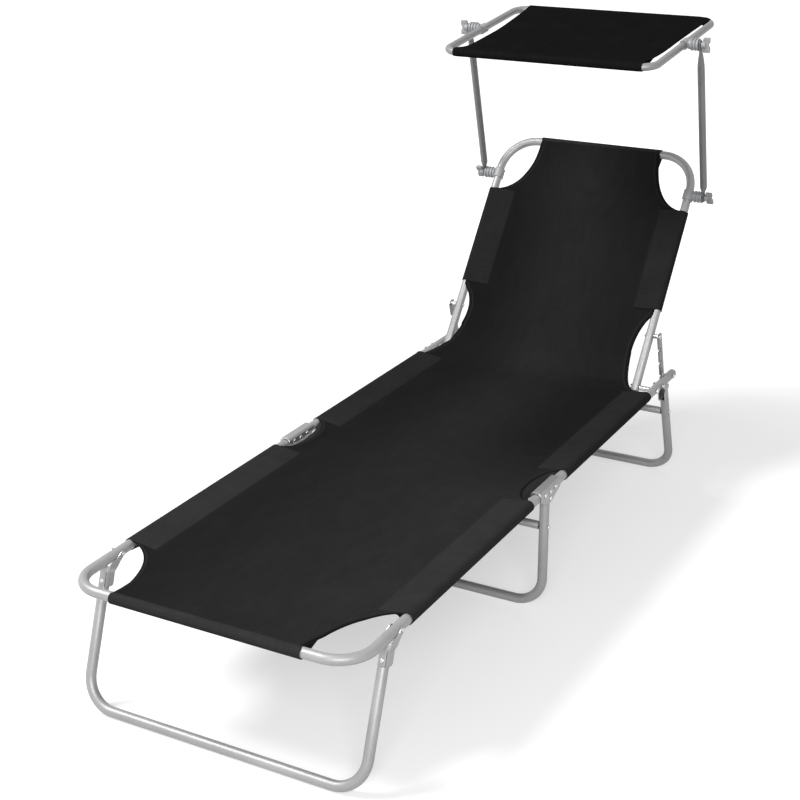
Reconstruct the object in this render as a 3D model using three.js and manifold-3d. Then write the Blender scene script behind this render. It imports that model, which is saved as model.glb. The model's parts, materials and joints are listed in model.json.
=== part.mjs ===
// Folding sun lounger with an adjustable back and a clip-on canopy.
// Units are millimetres, +X is to the right as seen from the foot end, +Y runs to the head, +Z is up.
// The shape is drawn with y = 0 at the front tube and moved at the end, so that the origin lies on
// the floor under the middle of the whole part.
import * as THREE from 'three';
import { mergeVertices } from 'three/addons/utils/BufferGeometryUtils.js';
import Module from 'manifold-3d';

const wasm = await Module();
wasm.setup();

// Driving dimensions of the lying frame
const TUBE_RADIUS = 9.5;
const TUBE_WALL = 1;
const HALF_WIDTH = 280;
const FRAME_HEIGHT = 255;
const FOOT_CORNER_RADIUS = 62;
const HINGE_Y = 720;
const BACK_PIVOT_Y = 1312.5;
const SEAT_END_Y = 1438;
const CAP_PLUG = 7;
const CLEARANCE = 0.3;
const OVERRUN = 5;
const MERGE_SHARE = 0.001;

// Driving dimensions of the hinge stand in the middle
const STAND_PIVOT_SPREAD = 24.5;
const PIVOT_RISE = 2;
const TUBE_END_RADIUS = 6;
const SHEET_STEEL = 2;
const HINGE_SIDE_GAP = 0.4;
const HINGE_TOP_GAP = 0.6;
const HINGE_CORNER_RADIUS = 4;
const STAND_RIVET_RISE = 1;
const STAND_RIVET_DROP = 13;
const STAND_TOP = 7;
const SADDLE_FRONT = 42;
const SADDLE_BACK = 50;
const SADDLE_DROP = 23;
const SADDLE_SHOULDER = 6;
const SADDLE_NOSE = 20;
const SADDLE_ROUND = 9;

// Driving dimensions of the legs
const LEG_LEAN = 19.5;
const LEG_CORNER_RADIUS = 58;
const LEG_PIVOT_OFFSET = 29;
const FOOT_LEG_Y = 105;
const REAR_LEG_Y = 1375;
const CROSSBAR_RADIUS = 8;
const STAND_CROSSBAR_DROP = 75;
const REAR_CROSSBAR_DROP = 83;
const BRACKET_SIDE_GAP = 0.5;
const BRACKET_LENGTH = 47;
const BRACKET_PLUG = 14;
const NECK_HALF_WIDTH = 5.2;
const NECK_HALF_DEPTH = 5.4;
const EAR_SPREAD_START = 27;
const EAR_SPREAD_END = 14;
const EAR_WAIST = 17;
const EAR_TIP_RADIUS = 6.5;

// Driving dimensions of the fasteners
const RIVET_RADIUS = 2.5;
const RIVET_HEAD_RADIUS = 5;
const RIVET_HEAD_HEIGHT = 2.2;
const BOLT_RADIUS = 3.5;
const BOLT_HEAD_RADIUS = 7;
const BOLT_HEAD_HEIGHT = 3.5;
const DOME_SHARE = 0.72;

// Driving dimensions of the backrest and its struts
const BACK_ANGLE = 52.8;
const BACK_INSET = 41.5;
const BACK_LENGTH = 560;
const BACK_CORNER_RADIUS = 80;
const BACK_TAIL = 9;
const STRUT_PIVOT = 124;
const STRUT_PIN_Y = 1418;
const STRUT_THICKNESS = 3;
const STRUT_WIDTH = 20;
const STRUT_TAIL = 22;
const STRUT_NOTCH = 6.8;
const STRUT_NOTCHES = 3;
const STRUT_NOTCH_PITCH = 35;
const STRUT_PIN_RADIUS = 3;
const STRUT_OFFSET = 11;
const STRUT_COLLAR_RADIUS = 5;
const SPACER_RADIUS = 6;

// Driving dimensions of the cloth
const CLOTH = 1;
const FRONT_CUT_WIDTH = 93;
const FRONT_CUT_LENGTH = 168;
const HINGE_CUT_WIDTH = 41;
const HINGE_CUT_LENGTH = 76;
const HINGE_CUT_OFFSET = 4;
const TOP_CUT_WIDTH = 88;
const TOP_CUT_LENGTH = 135;
const BACK_CUT_WIDTH = 60;
const BACK_CUT_INSET = 12;
const SEAT_SLEEVE_END = 45;
const BACK_SLEEVE_START = 184;
const BEND_SEAT_REACH = 40;
const BEND_BACK_REACH = 40;
const SLING_GAP = 1;

// Driving dimensions of the canopy, its arms and its clamps
const CANOPY_TUBE_RADIUS = 8;
const CANOPY_OUTSET = 3;
const CANOPY_FRONT = 199;
const CANOPY_BACK = 194;
const CANOPY_CORNER_RADIUS = 34;
const CANOPY_TILT = 6.4;
const CANOPY_AHEAD = 95.15;
const CANOPY_RISE = 356.62;
const CANOPY_CLOTH_INSET = 40;
const CANOPY_SLEEVE_PAST = 4;
const BUTT_GAP = 0.5;
const CLAMP_BELOW_TOP = 92.5;
const ARM_RADIUS = 8;
const ARM_OFFSET = 37;
const ARM_END_THICKNESS = 5;
const ARM_END_REACH = 11;
const ARM_FLAT_LENGTH = 16;
const ARM_TAPER_LENGTH = 22;
const ARM_WIDENING_SHARE = 1.12;
const CLIP_WALL = 2.8;
const CLIP_LENGTH = 24;
const CLIP_MOUTH = 11;
const BOSS_RADIUS = 11;
const BOSS_RIBS = 3;
const BOSS_RIB_DEPTH = 1.6;
const KNOB_HUB_RADIUS = 7.5;
const KNOB_HUB_LENGTH = 9;
const KNOB_WING_SPAN = 15;
const KNOB_WING_THICKNESS = 4.5;
const KNOB_WING_LENGTH = 14;
const KNOB_BOLT_REACH = 14;
const LOWER_KNOB_ANGLE = 70;
const UPPER_KNOB_ANGLE = 90;

// Numbers of flats that stand for round shapes
const TUBE_SIDES = 12;
const BORE_SIDES = 8;
const SLEEVE_SIDES = 12;
const CORNER_STEPS = 4;
const HOLE_SIDES = 8;
const ROUND_SIDES = 12;
const CURVE_SIDES = 28;
const FILLET_SIDES = 2;

const model = new THREE.Group();
const rad = THREE.MathUtils.degToRad;

// Joins and cuts on closed meshes

function solid(geometry, matrix) {
  const merged = mergeVertices(stripped(geometry), CLEARANCE * MERGE_SHARE);
  if (matrix) merged.applyMatrix4(matrix);
  return new wasm.Manifold(new wasm.Mesh({
    numProp: 3,
    vertProperties: Float32Array.from(merged.attributes.position.array),
    triVerts: Uint32Array.from(merged.index.array),
  }));
}

function stripped(geometry) {
  const copy = geometry.clone();
  copy.deleteAttribute('normal');
  copy.deleteAttribute('uv');
  return copy;
}

function geometryOf(body) {
  const mesh = body.getMesh();
  const geometry = new THREE.BufferGeometry();
  geometry.setAttribute('position', new THREE.BufferAttribute(mesh.vertProperties, 3));
  geometry.setIndex(new THREE.BufferAttribute(mesh.triVerts, 1));
  return geometry;
}

// A round bar along X, centred on the point
function barX(radius, length, x, y, z, sides = HOLE_SIDES) {
  const bar = new THREE.CylinderGeometry(radius, radius, length, sides);
  bar.rotateZ(-Math.PI / 2);
  bar.translate(x, y, z);
  return bar;
}

// A block between two corners
function block(x0, y0, z0, x1, y1, z1) {
  const box = new THREE.BoxGeometry(x1 - x0, y1 - y0, z1 - z0);
  box.translate((x0 + x1) / 2, (y0 + y1) / 2, (z0 + z1) / 2);
  return box;
}

// A plate drawn in the Y-Z plane and extruded along X from x0 to x1
function plateX(points, x0, x1) {
  const plate = new THREE.ExtrudeGeometry(new THREE.Shape(points), { depth: x1 - x0, bevelEnabled: false });
  plate.rotateX(Math.PI / 2);
  plate.rotateZ(Math.PI / 2);
  plate.translate(x0, 0, 0);
  return plate;
}

// A plate drawn in the X-Z plane and extruded along Y from y0 to y1
function plateY(points, y0, y1) {
  const plate = new THREE.ExtrudeGeometry(new THREE.Shape(points), { depth: y1 - y0, bevelEnabled: false });
  plate.rotateX(Math.PI / 2);
  plate.translate(0, y1, 0);
  return plate;
}

// An outline in X-Y extruded along Z from z0 to z1
function plateZ(shape, z0, z1, curveSegments = CURVE_SIDES) {
  const plate = new THREE.ExtrudeGeometry(shape, { depth: z1 - z0, bevelEnabled: false, curveSegments });
  plate.translate(0, 0, z0);
  return plate;
}

function ellipse(x, y, halfWidth, halfLength) {
  const shape = new THREE.Shape();
  shape.absellipse(x, y, halfWidth, halfLength, 0, 2 * Math.PI, false, 0);
  return shape;
}

function polygon(radius, sides) {
  const points = [];
  for (let i = 0; i < sides; i += 1) {
    const angle = ((i + 0.5) / sides) * 2 * Math.PI;
    points.push(new THREE.Vector2(radius * Math.cos(angle), radius * Math.sin(angle)));
  }
  return points;
}

// Straight runs with round corners, as one curve that keeps every corner point
class BentPath extends THREE.Curve {
  constructor(points) {
    super();
    this.points = points;
  }

  getPoint(t) {
    const last = this.points.length - 1;
    const place = Math.min(Math.max(t, 0), 1) * last;
    const i = Math.min(Math.floor(place), last - 1);
    return this.points[i].clone().lerp(this.points[i + 1], place - i);
  }

  getPointAt(u) {
    return this.getPoint(u);
  }

  getTangentAt(u) {
    const last = this.points.length - 1;
    const i = Math.round(u * last);
    const before = this.points[Math.max(i - 1, 0)];
    const after = this.points[Math.min(i + 1, last)];
    const here = this.points[i];
    const tangent = new THREE.Vector3();
    if (i > 0) tangent.add(here.clone().sub(before).normalize());
    if (i < last) tangent.add(after.clone().sub(here).normalize());
    return tangent.normalize();
  }
}

// The points of a run through the given corners, each rounded to a radius
function bent(corners, radius) {
  const points = [corners[0].clone()];
  for (let i = 1; i < corners.length - 1; i += 1) {
    const back = corners[i - 1].clone().sub(corners[i]).normalize();
    const on = corners[i + 1].clone().sub(corners[i]).normalize();
    const half = back.angleTo(on) / 2;
    const inward = back.clone().add(on).normalize();
    const centre = corners[i].clone().addScaledVector(inward, radius / Math.sin(half));
    const start = corners[i].clone().addScaledVector(back, radius / Math.tan(half)).sub(centre);
    const end = corners[i].clone().addScaledVector(on, radius / Math.tan(half)).sub(centre);
    const sweep = start.angleTo(end);
    for (let k = 0; k <= CORNER_STEPS; k += 1) {
      const share = k / CORNER_STEPS;
      const a = Math.sin((1 - share) * sweep) / Math.sin(sweep);
      const b = Math.sin(share * sweep) / Math.sin(sweep);
      points.push(centre.clone().addScaledVector(start, a).addScaledVector(end, b));
    }
  }
  points.push(corners[corners.length - 1].clone());
  return points;
}

// A tube along a run of points, hollow where a bore radius is given
function tube(points, radius, bore = 0, sides = TUBE_SIDES) {
  const section = new THREE.Shape(polygon(radius, sides));
  if (bore > 0) section.holes.push(new THREE.Path(polygon(bore, BORE_SIDES)));
  return new THREE.ExtrudeGeometry(section, { steps: points.length - 1, extrudePath: new BentPath(points) });
}

// A sleeve of cloth round a tube
function sleeve(points, tubeRadius) {
  const section = new THREE.Shape(polygon(tubeRadius + CLEARANCE + CLOTH, SLEEVE_SIDES));
  return new THREE.ExtrudeGeometry(section, { steps: points.length - 1, extrudePath: new BentPath(points) });
}

function cut(base, cutters) {
  return cutters.reduce((body, cutter) => body.subtract(cutter), base);
}

// Materials: each mesh gets one of its own
const finishes = {
  steel: { color: 0xb4b5b6, roughness: 0.38, metalness: 0.85 },
  zinc: { color: 0xc8c9ca, roughness: 0.32, metalness: 0.9 },
  cloth: { color: 0x1c1c1e, roughness: 0.85, metalness: 0 },
  plastic: { color: 0xa9abad, roughness: 0.5, metalness: 0 },
  cap: { color: 0x8f9193, roughness: 0.55, metalness: 0 },
};

function add(parent, name, shape, finish) {
  const geometry = shape.isBufferGeometry ? shape : geometryOf(shape);
  geometry.computeVertexNormals();
  const mesh = new THREE.Mesh(geometry, new THREE.MeshStandardMaterial(finishes[finish]));
  mesh.name = name;
  parent.add(mesh);
  return mesh;
}

const sides = [['left', -1], ['right', 1]];
const point = (x, y, z) => new THREE.Vector3(x, y, z);
const tubeBore = TUBE_RADIUS - TUBE_WALL;
const canopyBore = CANOPY_TUBE_RADIUS - TUBE_WALL;
const crossbarBore = CROSSBAR_RADIUS - TUBE_WALL;
const rivetHole = RIVET_RADIUS + CLEARANCE;
const boltHole = BOLT_RADIUS + CLEARANCE;

// A rivet along X: a shank with a domed head on each end, made by turning one profile
function rivet(fromX, toX, y, z, radius = RIVET_RADIUS, size = [RIVET_HEAD_RADIUS, RIVET_HEAD_HEIGHT]) {
  const length = toX - fromX;
  const [headRadius, head] = size;
  const dome = [[0, head], [headRadius * DOME_SHARE, head * DOME_SHARE], [headRadius, 0], [radius, 0]];
  const profile = dome.map(([r, h]) => new THREE.Vector2(r, -h));
  dome.slice().reverse().forEach(([r, h]) => profile.push(new THREE.Vector2(r, length + h)));
  const turned = new THREE.LatheGeometry(profile, HOLE_SIDES);
  turned.rotateZ(-Math.PI / 2);
  turned.translate(fromX, y, z);
  return turned;
}

// Seats of pins and rivets
const pivotHeight = FRAME_HEIGHT + PIVOT_RISE;
const footPivotY = HINGE_Y - STAND_PIVOT_SPREAD;
const seatPivotY = HINGE_Y + STAND_PIVOT_SPREAD;
const backHalfWidth = HALF_WIDTH - BACK_INSET;
const canopyHalfWidth = backHalfWidth + CANOPY_OUTSET;
const armCentreX = backHalfWidth + ARM_OFFSET;
const clampOnBack = BACK_LENGTH - CLAMP_BELOW_TOP;
const hingeInner = TUBE_RADIUS + HINGE_SIDE_GAP;
const hingeOuter = hingeInner + SHEET_STEEL;
const bracketInner = TUBE_RADIUS + BRACKET_SIDE_GAP;
const bracketOuter = bracketInner + SHEET_STEEL;

function hole(x, y, z, radius) {
  return solid(barX(radius, 4 * TUBE_RADIUS, x, y, z));
}

// Rounds a tube end about its pivot above the middle and cuts it off square below, so that it can
// swing down inside the bracket. The way is +1 where the tube ends towards the head.
function roundedEnd(x, pivotY, way) {
  const side = 2 * TUBE_RADIUS;
  const ends = [pivotY, pivotY + way * 3 * TUBE_RADIUS].sort((a, b) => a - b);
  const lower = [pivotY - way * OVERRUN, pivotY + way * TUBE_END_RADIUS].sort((a, b) => a - b);
  const beyond = solid(block(x - side, ends[0], pivotHeight - side, x + side, ends[1], pivotHeight + side));
  const nose = solid(barX(TUBE_END_RADIUS, 2 * side + OVERRUN, x, pivotY, pivotHeight, ROUND_SIDES));
  const wide = side + OVERRUN;
  const under = solid(block(x - wide, lower[0], pivotHeight - wide, x + wide, lower[1], pivotHeight));
  return beyond.subtract(nose).subtract(under);
}

// The stand: a U-shaped leg with a crossbar, and a saddle bracket on each of its tops

const stand = new THREE.Group();
model.add(stand);

// The run of a U-shaped leg between a bottom and a top, both from the frame height
function legU(bottom, top) {
  const ends = [point(-HALF_WIDTH, 0, top), point(HALF_WIDTH, 0, top)];
  const corners = [point(-HALF_WIDTH, 0, bottom), point(HALF_WIDTH, 0, bottom)];
  return bent([ends[0], ...corners, ends[1]], LEG_CORNER_RADIUS);
}

function crossbar(name, parent, y, z) {
  const reach = HALF_WIDTH - TUBE_RADIUS - CLEARANCE;
  add(parent, name, tube([point(-reach, y, z), point(reach, y, z)], CROSSBAR_RADIUS, crossbarBore), 'steel');
}

const standRun = legU(TUBE_RADIUS - FRAME_HEIGHT, STAND_TOP);
const standLeg = cut(solid(tube(standRun, TUBE_RADIUS, tubeBore)), sides.flatMap(([, s]) => [
  hole(s * HALF_WIDTH, 0, STAND_RIVET_RISE, rivetHole),
  hole(s * HALF_WIDTH, 0, -STAND_RIVET_DROP, rivetHole),
  hole(s * HALF_WIDTH, 0, -STAND_CROSSBAR_DROP, rivetHole),
]));
const standLegMesh = add(stand, 'stand_leg', standLeg, 'steel');
standLegMesh.position.set(0, HINGE_Y, FRAME_HEIGHT);
crossbar('stand_crossbar', stand, HINGE_Y, FRAME_HEIGHT - STAND_CROSSBAR_DROP);

// The saddle bracket: an inverted channel over the tubes, cut to a three-cornered side outline
function saddle(x) {
  const top = TUBE_RADIUS + HINGE_TOP_GAP;
  const channel = channelShape(hingeOuter, top + SHEET_STEEL, HINGE_CORNER_RADIUS + SHEET_STEEL, SADDLE_DROP);
  const inner = channelShape(hingeInner, top, HINGE_CORNER_RADIUS, SADDLE_DROP + OVERRUN);
  const length = SADDLE_FRONT + SADDLE_BACK;
  const lay = new THREE.Matrix4().makeRotationX(Math.PI / 2);
  lay.setPosition(x, HINGE_Y + SADDLE_BACK, FRAME_HEIGHT);
  const outerBar = plateZ(channel, 0, length, FILLET_SIDES);
  const innerBar = plateZ(inner, -OVERRUN, length + OVERRUN, FILLET_SIDES);
  const lift = top + SHEET_STEEL;
  const outline = new THREE.Shape();
  outline.moveTo(-SADDLE_FRONT, lift + OVERRUN);
  outline.lineTo(-SADDLE_FRONT, -SADDLE_SHOULDER);
  const bulge = -SADDLE_SHOULDER - SADDLE_ROUND;
  outline.quadraticCurveTo(-SADDLE_FRONT, bulge, -SADDLE_NOSE, -SADDLE_DROP + OVERRUN);
  outline.quadraticCurveTo(0, -SADDLE_DROP - SADDLE_ROUND, SADDLE_NOSE, -SADDLE_DROP + SADDLE_ROUND);
  outline.lineTo(SADDLE_BACK - SADDLE_ROUND, -SADDLE_SHOULDER);
  outline.quadraticCurveTo(SADDLE_BACK, 0, SADDLE_BACK, lift - SADDLE_ROUND);
  outline.lineTo(SADDLE_BACK, lift + OVERRUN);
  const reach = hingeOuter + OVERRUN;
  const outlineBar = plateX(outline.getPoints(FILLET_SIDES).reverse(), x - reach, x + reach);
  outlineBar.translate(0, HINGE_Y, FRAME_HEIGHT);
  const body = solid(outerBar, lay).subtract(solid(innerBar, lay)).intersect(solid(outlineBar));
  return cut(body, [
    hole(x, footPivotY, pivotHeight, rivetHole),
    hole(x, seatPivotY, pivotHeight, rivetHole),
    hole(x, HINGE_Y, FRAME_HEIGHT + STAND_RIVET_RISE, rivetHole),
    hole(x, HINGE_Y, FRAME_HEIGHT - STAND_RIVET_DROP, rivetHole),
  ]);
}

// The end view of a channel that is open below, with its top corners rounded
function channelShape(halfWidth, top, radius, drop) {
  const shape = new THREE.Shape();
  shape.moveTo(-halfWidth, -drop);
  shape.lineTo(halfWidth, -drop);
  shape.lineTo(halfWidth, top - radius);
  shape.absarc(halfWidth - radius, top - radius, radius, 0, Math.PI / 2, false);
  shape.absarc(radius - halfWidth, top - radius, radius, Math.PI / 2, Math.PI, false);
  return shape;
}

for (const [side, s] of sides) {
  const x = s * HALF_WIDTH;
  add(stand, `saddle_bracket_${side}`, saddle(x), 'zinc');
  const from = x - hingeOuter - CLEARANCE;
  const to = x + hingeOuter + CLEARANCE;
  add(stand, `foot_hinge_rivet_${side}`, rivet(from, to, footPivotY, pivotHeight), 'zinc');
  add(stand, `seat_hinge_rivet_${side}`, rivet(from, to, seatPivotY, pivotHeight), 'zinc');
  add(stand, `stand_rivet_upper_${side}`, rivet(from, to, HINGE_Y, FRAME_HEIGHT + STAND_RIVET_RISE), 'zinc');
  add(stand, `stand_rivet_lower_${side}`, rivet(from, to, HINGE_Y, FRAME_HEIGHT - STAND_RIVET_DROP), 'zinc');
}

// A crossbar rivet goes through the leg into the open end of the crossbar
function crossbarRivet(parent, name, s, y, z) {
  const inner = HALF_WIDTH - TUBE_RADIUS - 2 * RIVET_HEAD_HEIGHT - CLEARANCE;
  const outer = HALF_WIDTH + TUBE_RADIUS + CLEARANCE;
  const ends = [s * inner, s * outer].sort((a, b) => a - b);
  add(parent, `${name}_${s < 0 ? 'left' : 'right'}`, rivet(ends[0], ends[1], y, z), 'zinc');
}

const standBarZ = FRAME_HEIGHT - STAND_CROSSBAR_DROP;
for (const [, s] of sides) crossbarRivet(stand, 'stand_crossbar_rivet', s, HINGE_Y, standBarZ);

// A leg that leans. The lean is measured from the vertical, and the origin of a leg group is the point
// where its middle line meets the frame height. The pivot is a rivet through the frame tube, further
// in, so that the folded leg lies beneath the tube.

const lean = rad(LEG_LEAN);
const legReach = FRAME_HEIGHT / Math.cos(lean) - TUBE_RADIUS * (1 / Math.cos(lean) - 1);
const legPivotU = LEG_PIVOT_OFFSET * Math.cos(lean);
const legPivotV = LEG_PIVOT_OFFSET * Math.sin(lean);

function leaningLeg(parent, name, y, way, holes) {
  const group = new THREE.Group();
  group.position.set(0, y, FRAME_HEIGHT);
  group.rotation.x = way * lean;
  parent.add(group);
  const run = legU(TUBE_RADIUS - legReach, -BRACKET_LENGTH);
  const drilled = sides.flatMap(([, s]) => holes.map((z) => hole(s * HALF_WIDTH, 0, z, rivetHole)));
  add(group, name, cut(solid(tube(run, TUBE_RADIUS, tubeBore)), drilled), 'steel');
  return group;
}

// A leg bracket is a narrow channel that stands in the open end of the leg. Its wall ends under the
// frame tube, which stops the leg, and its two ears spread round the tube up to the pivot rivet. It
// is drawn in the frame of the leg group, with the wall on the outer side.
function legBracket(x, way) {
  const low = -BRACKET_LENGTH - BRACKET_PLUG;
  const rim = CLEARANCE - BRACKET_LENGTH;
  const neck = NECK_HALF_DEPTH;
  const tip = EAR_TIP_RADIUS;
  const waist = EAR_WAIST;
  const ear = [
    [-neck, low], [neck, low], [neck, rim - CLEARANCE], [TUBE_RADIUS - TUBE_WALL, rim],
    [(neck + 2 * waist) / 3, (rim - EAR_SPREAD_START) / 2], [waist, -EAR_SPREAD_END - SHEET_STEEL],
    [waist, -EAR_SPREAD_END], [waist + tip, -tip], [legPivotU + tip / 2, legPivotV - 2 * tip],
    [legPivotU + tip, legPivotV - tip / 2], [legPivotU + tip * DOME_SHARE, legPivotV + tip * DOME_SHARE],
    [legPivotU, legPivotV + tip], [legPivotU - tip, legPivotV + tip / 2],
    [legPivotU / 2, legPivotV / 3], [-neck, -TUBE_RADIUS],
  ].map(([u, v]) => new THREE.Vector2(u * way, v));
  const profile = solid(plateX(ear, x - 2 * bracketOuter, x + 2 * bracketOuter));
  const near = NECK_HALF_WIDTH - SHEET_STEEL;
  const ears = [-1, 1].map((s) => {
    const section = [
      [near, low], [NECK_HALF_WIDTH, low], [NECK_HALF_WIDTH, -EAR_SPREAD_START],
      [bracketOuter, -EAR_SPREAD_END], [bracketOuter, 2 * legPivotU], [bracketInner, 2 * legPivotU],
      [bracketInner, -EAR_SPREAD_END], [near, -EAR_SPREAD_START],
    ].map(([u, v]) => new THREE.Vector2(x + s * u, v));
    return solid(plateY(section, -2 * legPivotU, 2 * legPivotU)).intersect(profile);
  });
  const faces = [-neck * way, (SHEET_STEEL - neck) * way].sort((a, b) => a - b);
  const wall = solid(block(x - NECK_HALF_WIDTH, faces[0], low, x + NECK_HALF_WIDTH, faces[1], 0));
  const joined = ears[0].add(ears[1]).add(wall);
  return cut(joined, [hole(x, way * legPivotU, legPivotV, rivetHole)]);
}

// The foot section: a U tube, its sling, and a folding leg

const foot = new THREE.Group();
model.add(foot);

const footTubeEnd = footPivotY + TUBE_END_RADIUS + OVERRUN;
const footRun = bent([
  point(-HALF_WIDTH, footTubeEnd, FRAME_HEIGHT), point(-HALF_WIDTH, 0, FRAME_HEIGHT),
  point(HALF_WIDTH, 0, FRAME_HEIGHT), point(HALF_WIDTH, footTubeEnd, FRAME_HEIGHT),
], FOOT_CORNER_RADIUS);
const footTube = cut(solid(tube(footRun, TUBE_RADIUS, tubeBore)), sides.flatMap(([, s]) => [
  roundedEnd(s * HALF_WIDTH, footPivotY, 1),
  hole(s * HALF_WIDTH, footPivotY, pivotHeight, rivetHole),
  hole(s * HALF_WIDTH, FOOT_LEG_Y + LEG_PIVOT_OFFSET, FRAME_HEIGHT, rivetHole),
]));
add(foot, 'foot_tube', footTube, 'steel');

const clothBottom = TUBE_RADIUS + CLEARANCE;
const clothTop = clothBottom + CLOTH;

function clothSheet(x0, y0, x1, y1, z) {
  return solid(block(x0, y0, z + clothBottom, x1, y1, z + clothTop));
}

function cutter(shape, z) {
  const reach = 3 * TUBE_RADIUS;
  return solid(plateZ(shape, z - reach, z + reach));
}

function keepBetween(y0, y1, z) {
  const wide = HALF_WIDTH + 2 * TUBE_RADIUS;
  const deep = 3 * TUBE_RADIUS;
  return solid(block(-wide, y0, z - deep, wide, y1, z + deep));
}

// A sling is a flat sheet with a sleeve round each tube. The tube's own space is cut out of it.
function sling(runs, radius, sheet, cuts, keep) {
  const sleeves = runs.map((run) => solid(sleeve(run, radius)));
  const space = runs.map((run) => solid(tube(run, radius + CLEARANCE, 0, SLEEVE_SIDES)));
  const whole = sleeves.reduce((body, next) => body.add(next), sheet);
  return cut(keep ? whole.intersect(keep) : whole, [...space, ...cuts]);
}

function hingeCut(s) {
  const x = s * (HALF_WIDTH + OVERRUN);
  const y = HINGE_Y + HINGE_CUT_OFFSET;
  return cutter(ellipse(x, y, HINGE_CUT_WIDTH, HINGE_CUT_LENGTH), FRAME_HEIGHT);
}

const footClothEnd = HINGE_Y - SLING_GAP / 2;
const footSling = sling(
  [footRun],
  TUBE_RADIUS,
  clothSheet(-HALF_WIDTH, 0, HALF_WIDTH, footClothEnd, FRAME_HEIGHT),
  sides.flatMap(([, s]) => [
    cutter(ellipse(s * HALF_WIDTH, 0, FRONT_CUT_WIDTH, FRONT_CUT_LENGTH), FRAME_HEIGHT),
    hingeCut(s),
  ]),
  keepBetween(-3 * TUBE_RADIUS, footClothEnd, FRAME_HEIGHT),
);
add(foot, 'sling_foot', footSling, 'cloth');

const footLegFrame = leaningLeg(foot, 'foot_leg_tube', FOOT_LEG_Y, -1, []);
const tubeSpace = (x, y0, y1) => solid(tube([point(x, y0, 0), point(x, y1, 0)], TUBE_RADIUS + CLEARANCE));

// Brackets are cut by the frame tube that they straddle. The rivets they turn on stay with the tube.
function addLegBrackets(section, frame, name, y, way) {
  for (const [side, s] of sides) {
    const x = s * HALF_WIDTH;
    const level = new THREE.Matrix4().makeRotationX(-frame.rotation.x).elements;
    const straight = tubeSpace(x, -4 * TUBE_RADIUS, 4 * TUBE_RADIUS).transform(level);
    add(frame, `${name}_bracket_${side}`, legBracket(x, way).subtract(straight), 'zinc');
    const from = x - bracketOuter - CLEARANCE;
    const to = x + bracketOuter + CLEARANCE;
    const pivotY = y + way * LEG_PIVOT_OFFSET;
    add(section, `${name}_pivot_rivet_${side}`, rivet(from, to, pivotY, FRAME_HEIGHT), 'zinc');
  }
}

addLegBrackets(foot, footLegFrame, 'foot_leg', FOOT_LEG_Y, 1);

// The seat section: two straight tubes, plugged at the head end, with the rear leg

const seat = new THREE.Group();
model.add(seat);

const seatTubeStart = seatPivotY - TUBE_END_RADIUS - OVERRUN;
const seatTubeEnd = SEAT_END_Y - TUBE_RADIUS / 2;
for (const [side, s] of sides) {
  const x = s * HALF_WIDTH;
  const run = [point(x, seatTubeStart, FRAME_HEIGHT), point(x, seatTubeEnd, FRAME_HEIGHT)];
  const body = cut(solid(tube(run, TUBE_RADIUS, tubeBore)), [
    roundedEnd(x, seatPivotY, -1),
    hole(x, seatPivotY, pivotHeight, rivetHole),
    hole(x, BACK_PIVOT_Y, FRAME_HEIGHT, boltHole),
    hole(x, REAR_LEG_Y - LEG_PIVOT_OFFSET, FRAME_HEIGHT, rivetHole),
    hole(x, STRUT_PIN_Y, FRAME_HEIGHT, STRUT_PIN_RADIUS + CLEARANCE),
  ]);
  add(seat, `seat_tube_${side}`, body, 'steel');
}

const rearBarZ = -REAR_CROSSBAR_DROP / Math.cos(lean);
const rearLegFrame = leaningLeg(seat, 'rear_leg_tube', REAR_LEG_Y, 1, [rearBarZ]);
addLegBrackets(seat, rearLegFrame, 'rear_leg', REAR_LEG_Y, -1);
crossbar('rear_crossbar', rearLegFrame, 0, rearBarZ);
for (const [, s] of sides) crossbarRivet(rearLegFrame, 'rear_crossbar_rivet', s, 0, rearBarZ);

// A domed plastic plug in the open end of each seat tube
function endCap(x) {
  const cap = TUBE_RADIUS;
  const plug = tubeBore * Math.cos(Math.PI / BORE_SIDES) - CLEARANCE;
  const profile = [
    [0, -CAP_PLUG], [plug, -CAP_PLUG], [plug, CLEARANCE], [cap, CLEARANCE],
    [cap * DOME_SHARE, cap * (1 - DOME_SHARE) + CLEARANCE], [0, cap / 2],
  ].map(([r, h]) => new THREE.Vector2(r, h));
  return new THREE.LatheGeometry(profile, TUBE_SIDES);
}

const spacerInner = backHalfWidth + TUBE_RADIUS + CLEARANCE;
const spacerOuter = HALF_WIDTH - TUBE_RADIUS - CLEARANCE;
const spacerLength = spacerOuter - spacerInner;
const spacerMiddle = (spacerInner + spacerOuter) / 2;
const headInside = backHalfWidth - TUBE_RADIUS - CLEARANCE;
const headOutside = HALF_WIDTH + TUBE_RADIUS + CLEARANCE;

// A pin through the seat tube ends beside the notched strut that hooks on it
const strutInner = backHalfWidth + TUBE_RADIUS + STRUT_OFFSET;
const strutPinInner = strutInner + STRUT_THICKNESS + CLEARANCE + RIVET_HEAD_HEIGHT;

for (const [side, s] of sides) {
  const x = s * HALF_WIDTH;
  add(seat, `seat_end_cap_${side}`, endCap(x), 'cap').position.set(x, seatTubeEnd, FRAME_HEIGHT);
  const boltEnds = [s * headInside, s * headOutside].sort((a, b) => a - b);
  const boltHead = [BOLT_HEAD_RADIUS, BOLT_HEAD_HEIGHT];
  const boltShape = rivet(...boltEnds, BACK_PIVOT_Y, FRAME_HEIGHT, BOLT_RADIUS, boltHead);
  const middleX = s * spacerMiddle;
  const spacer = barX(SPACER_RADIUS, spacerLength, middleX, BACK_PIVOT_Y, FRAME_HEIGHT, TUBE_SIDES);
  add(seat, `back_pivot_bolt_${side}`, solid(boltShape).add(solid(spacer)), 'zinc');
  const pinEnds = [s * strutPinInner, s * headOutside].sort((a, b) => a - b);
  const pinShape = rivet(...pinEnds, STRUT_PIN_Y, FRAME_HEIGHT, STRUT_PIN_RADIUS);
  add(seat, `strut_pin_${side}`, pinShape, 'zinc');
}

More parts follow.
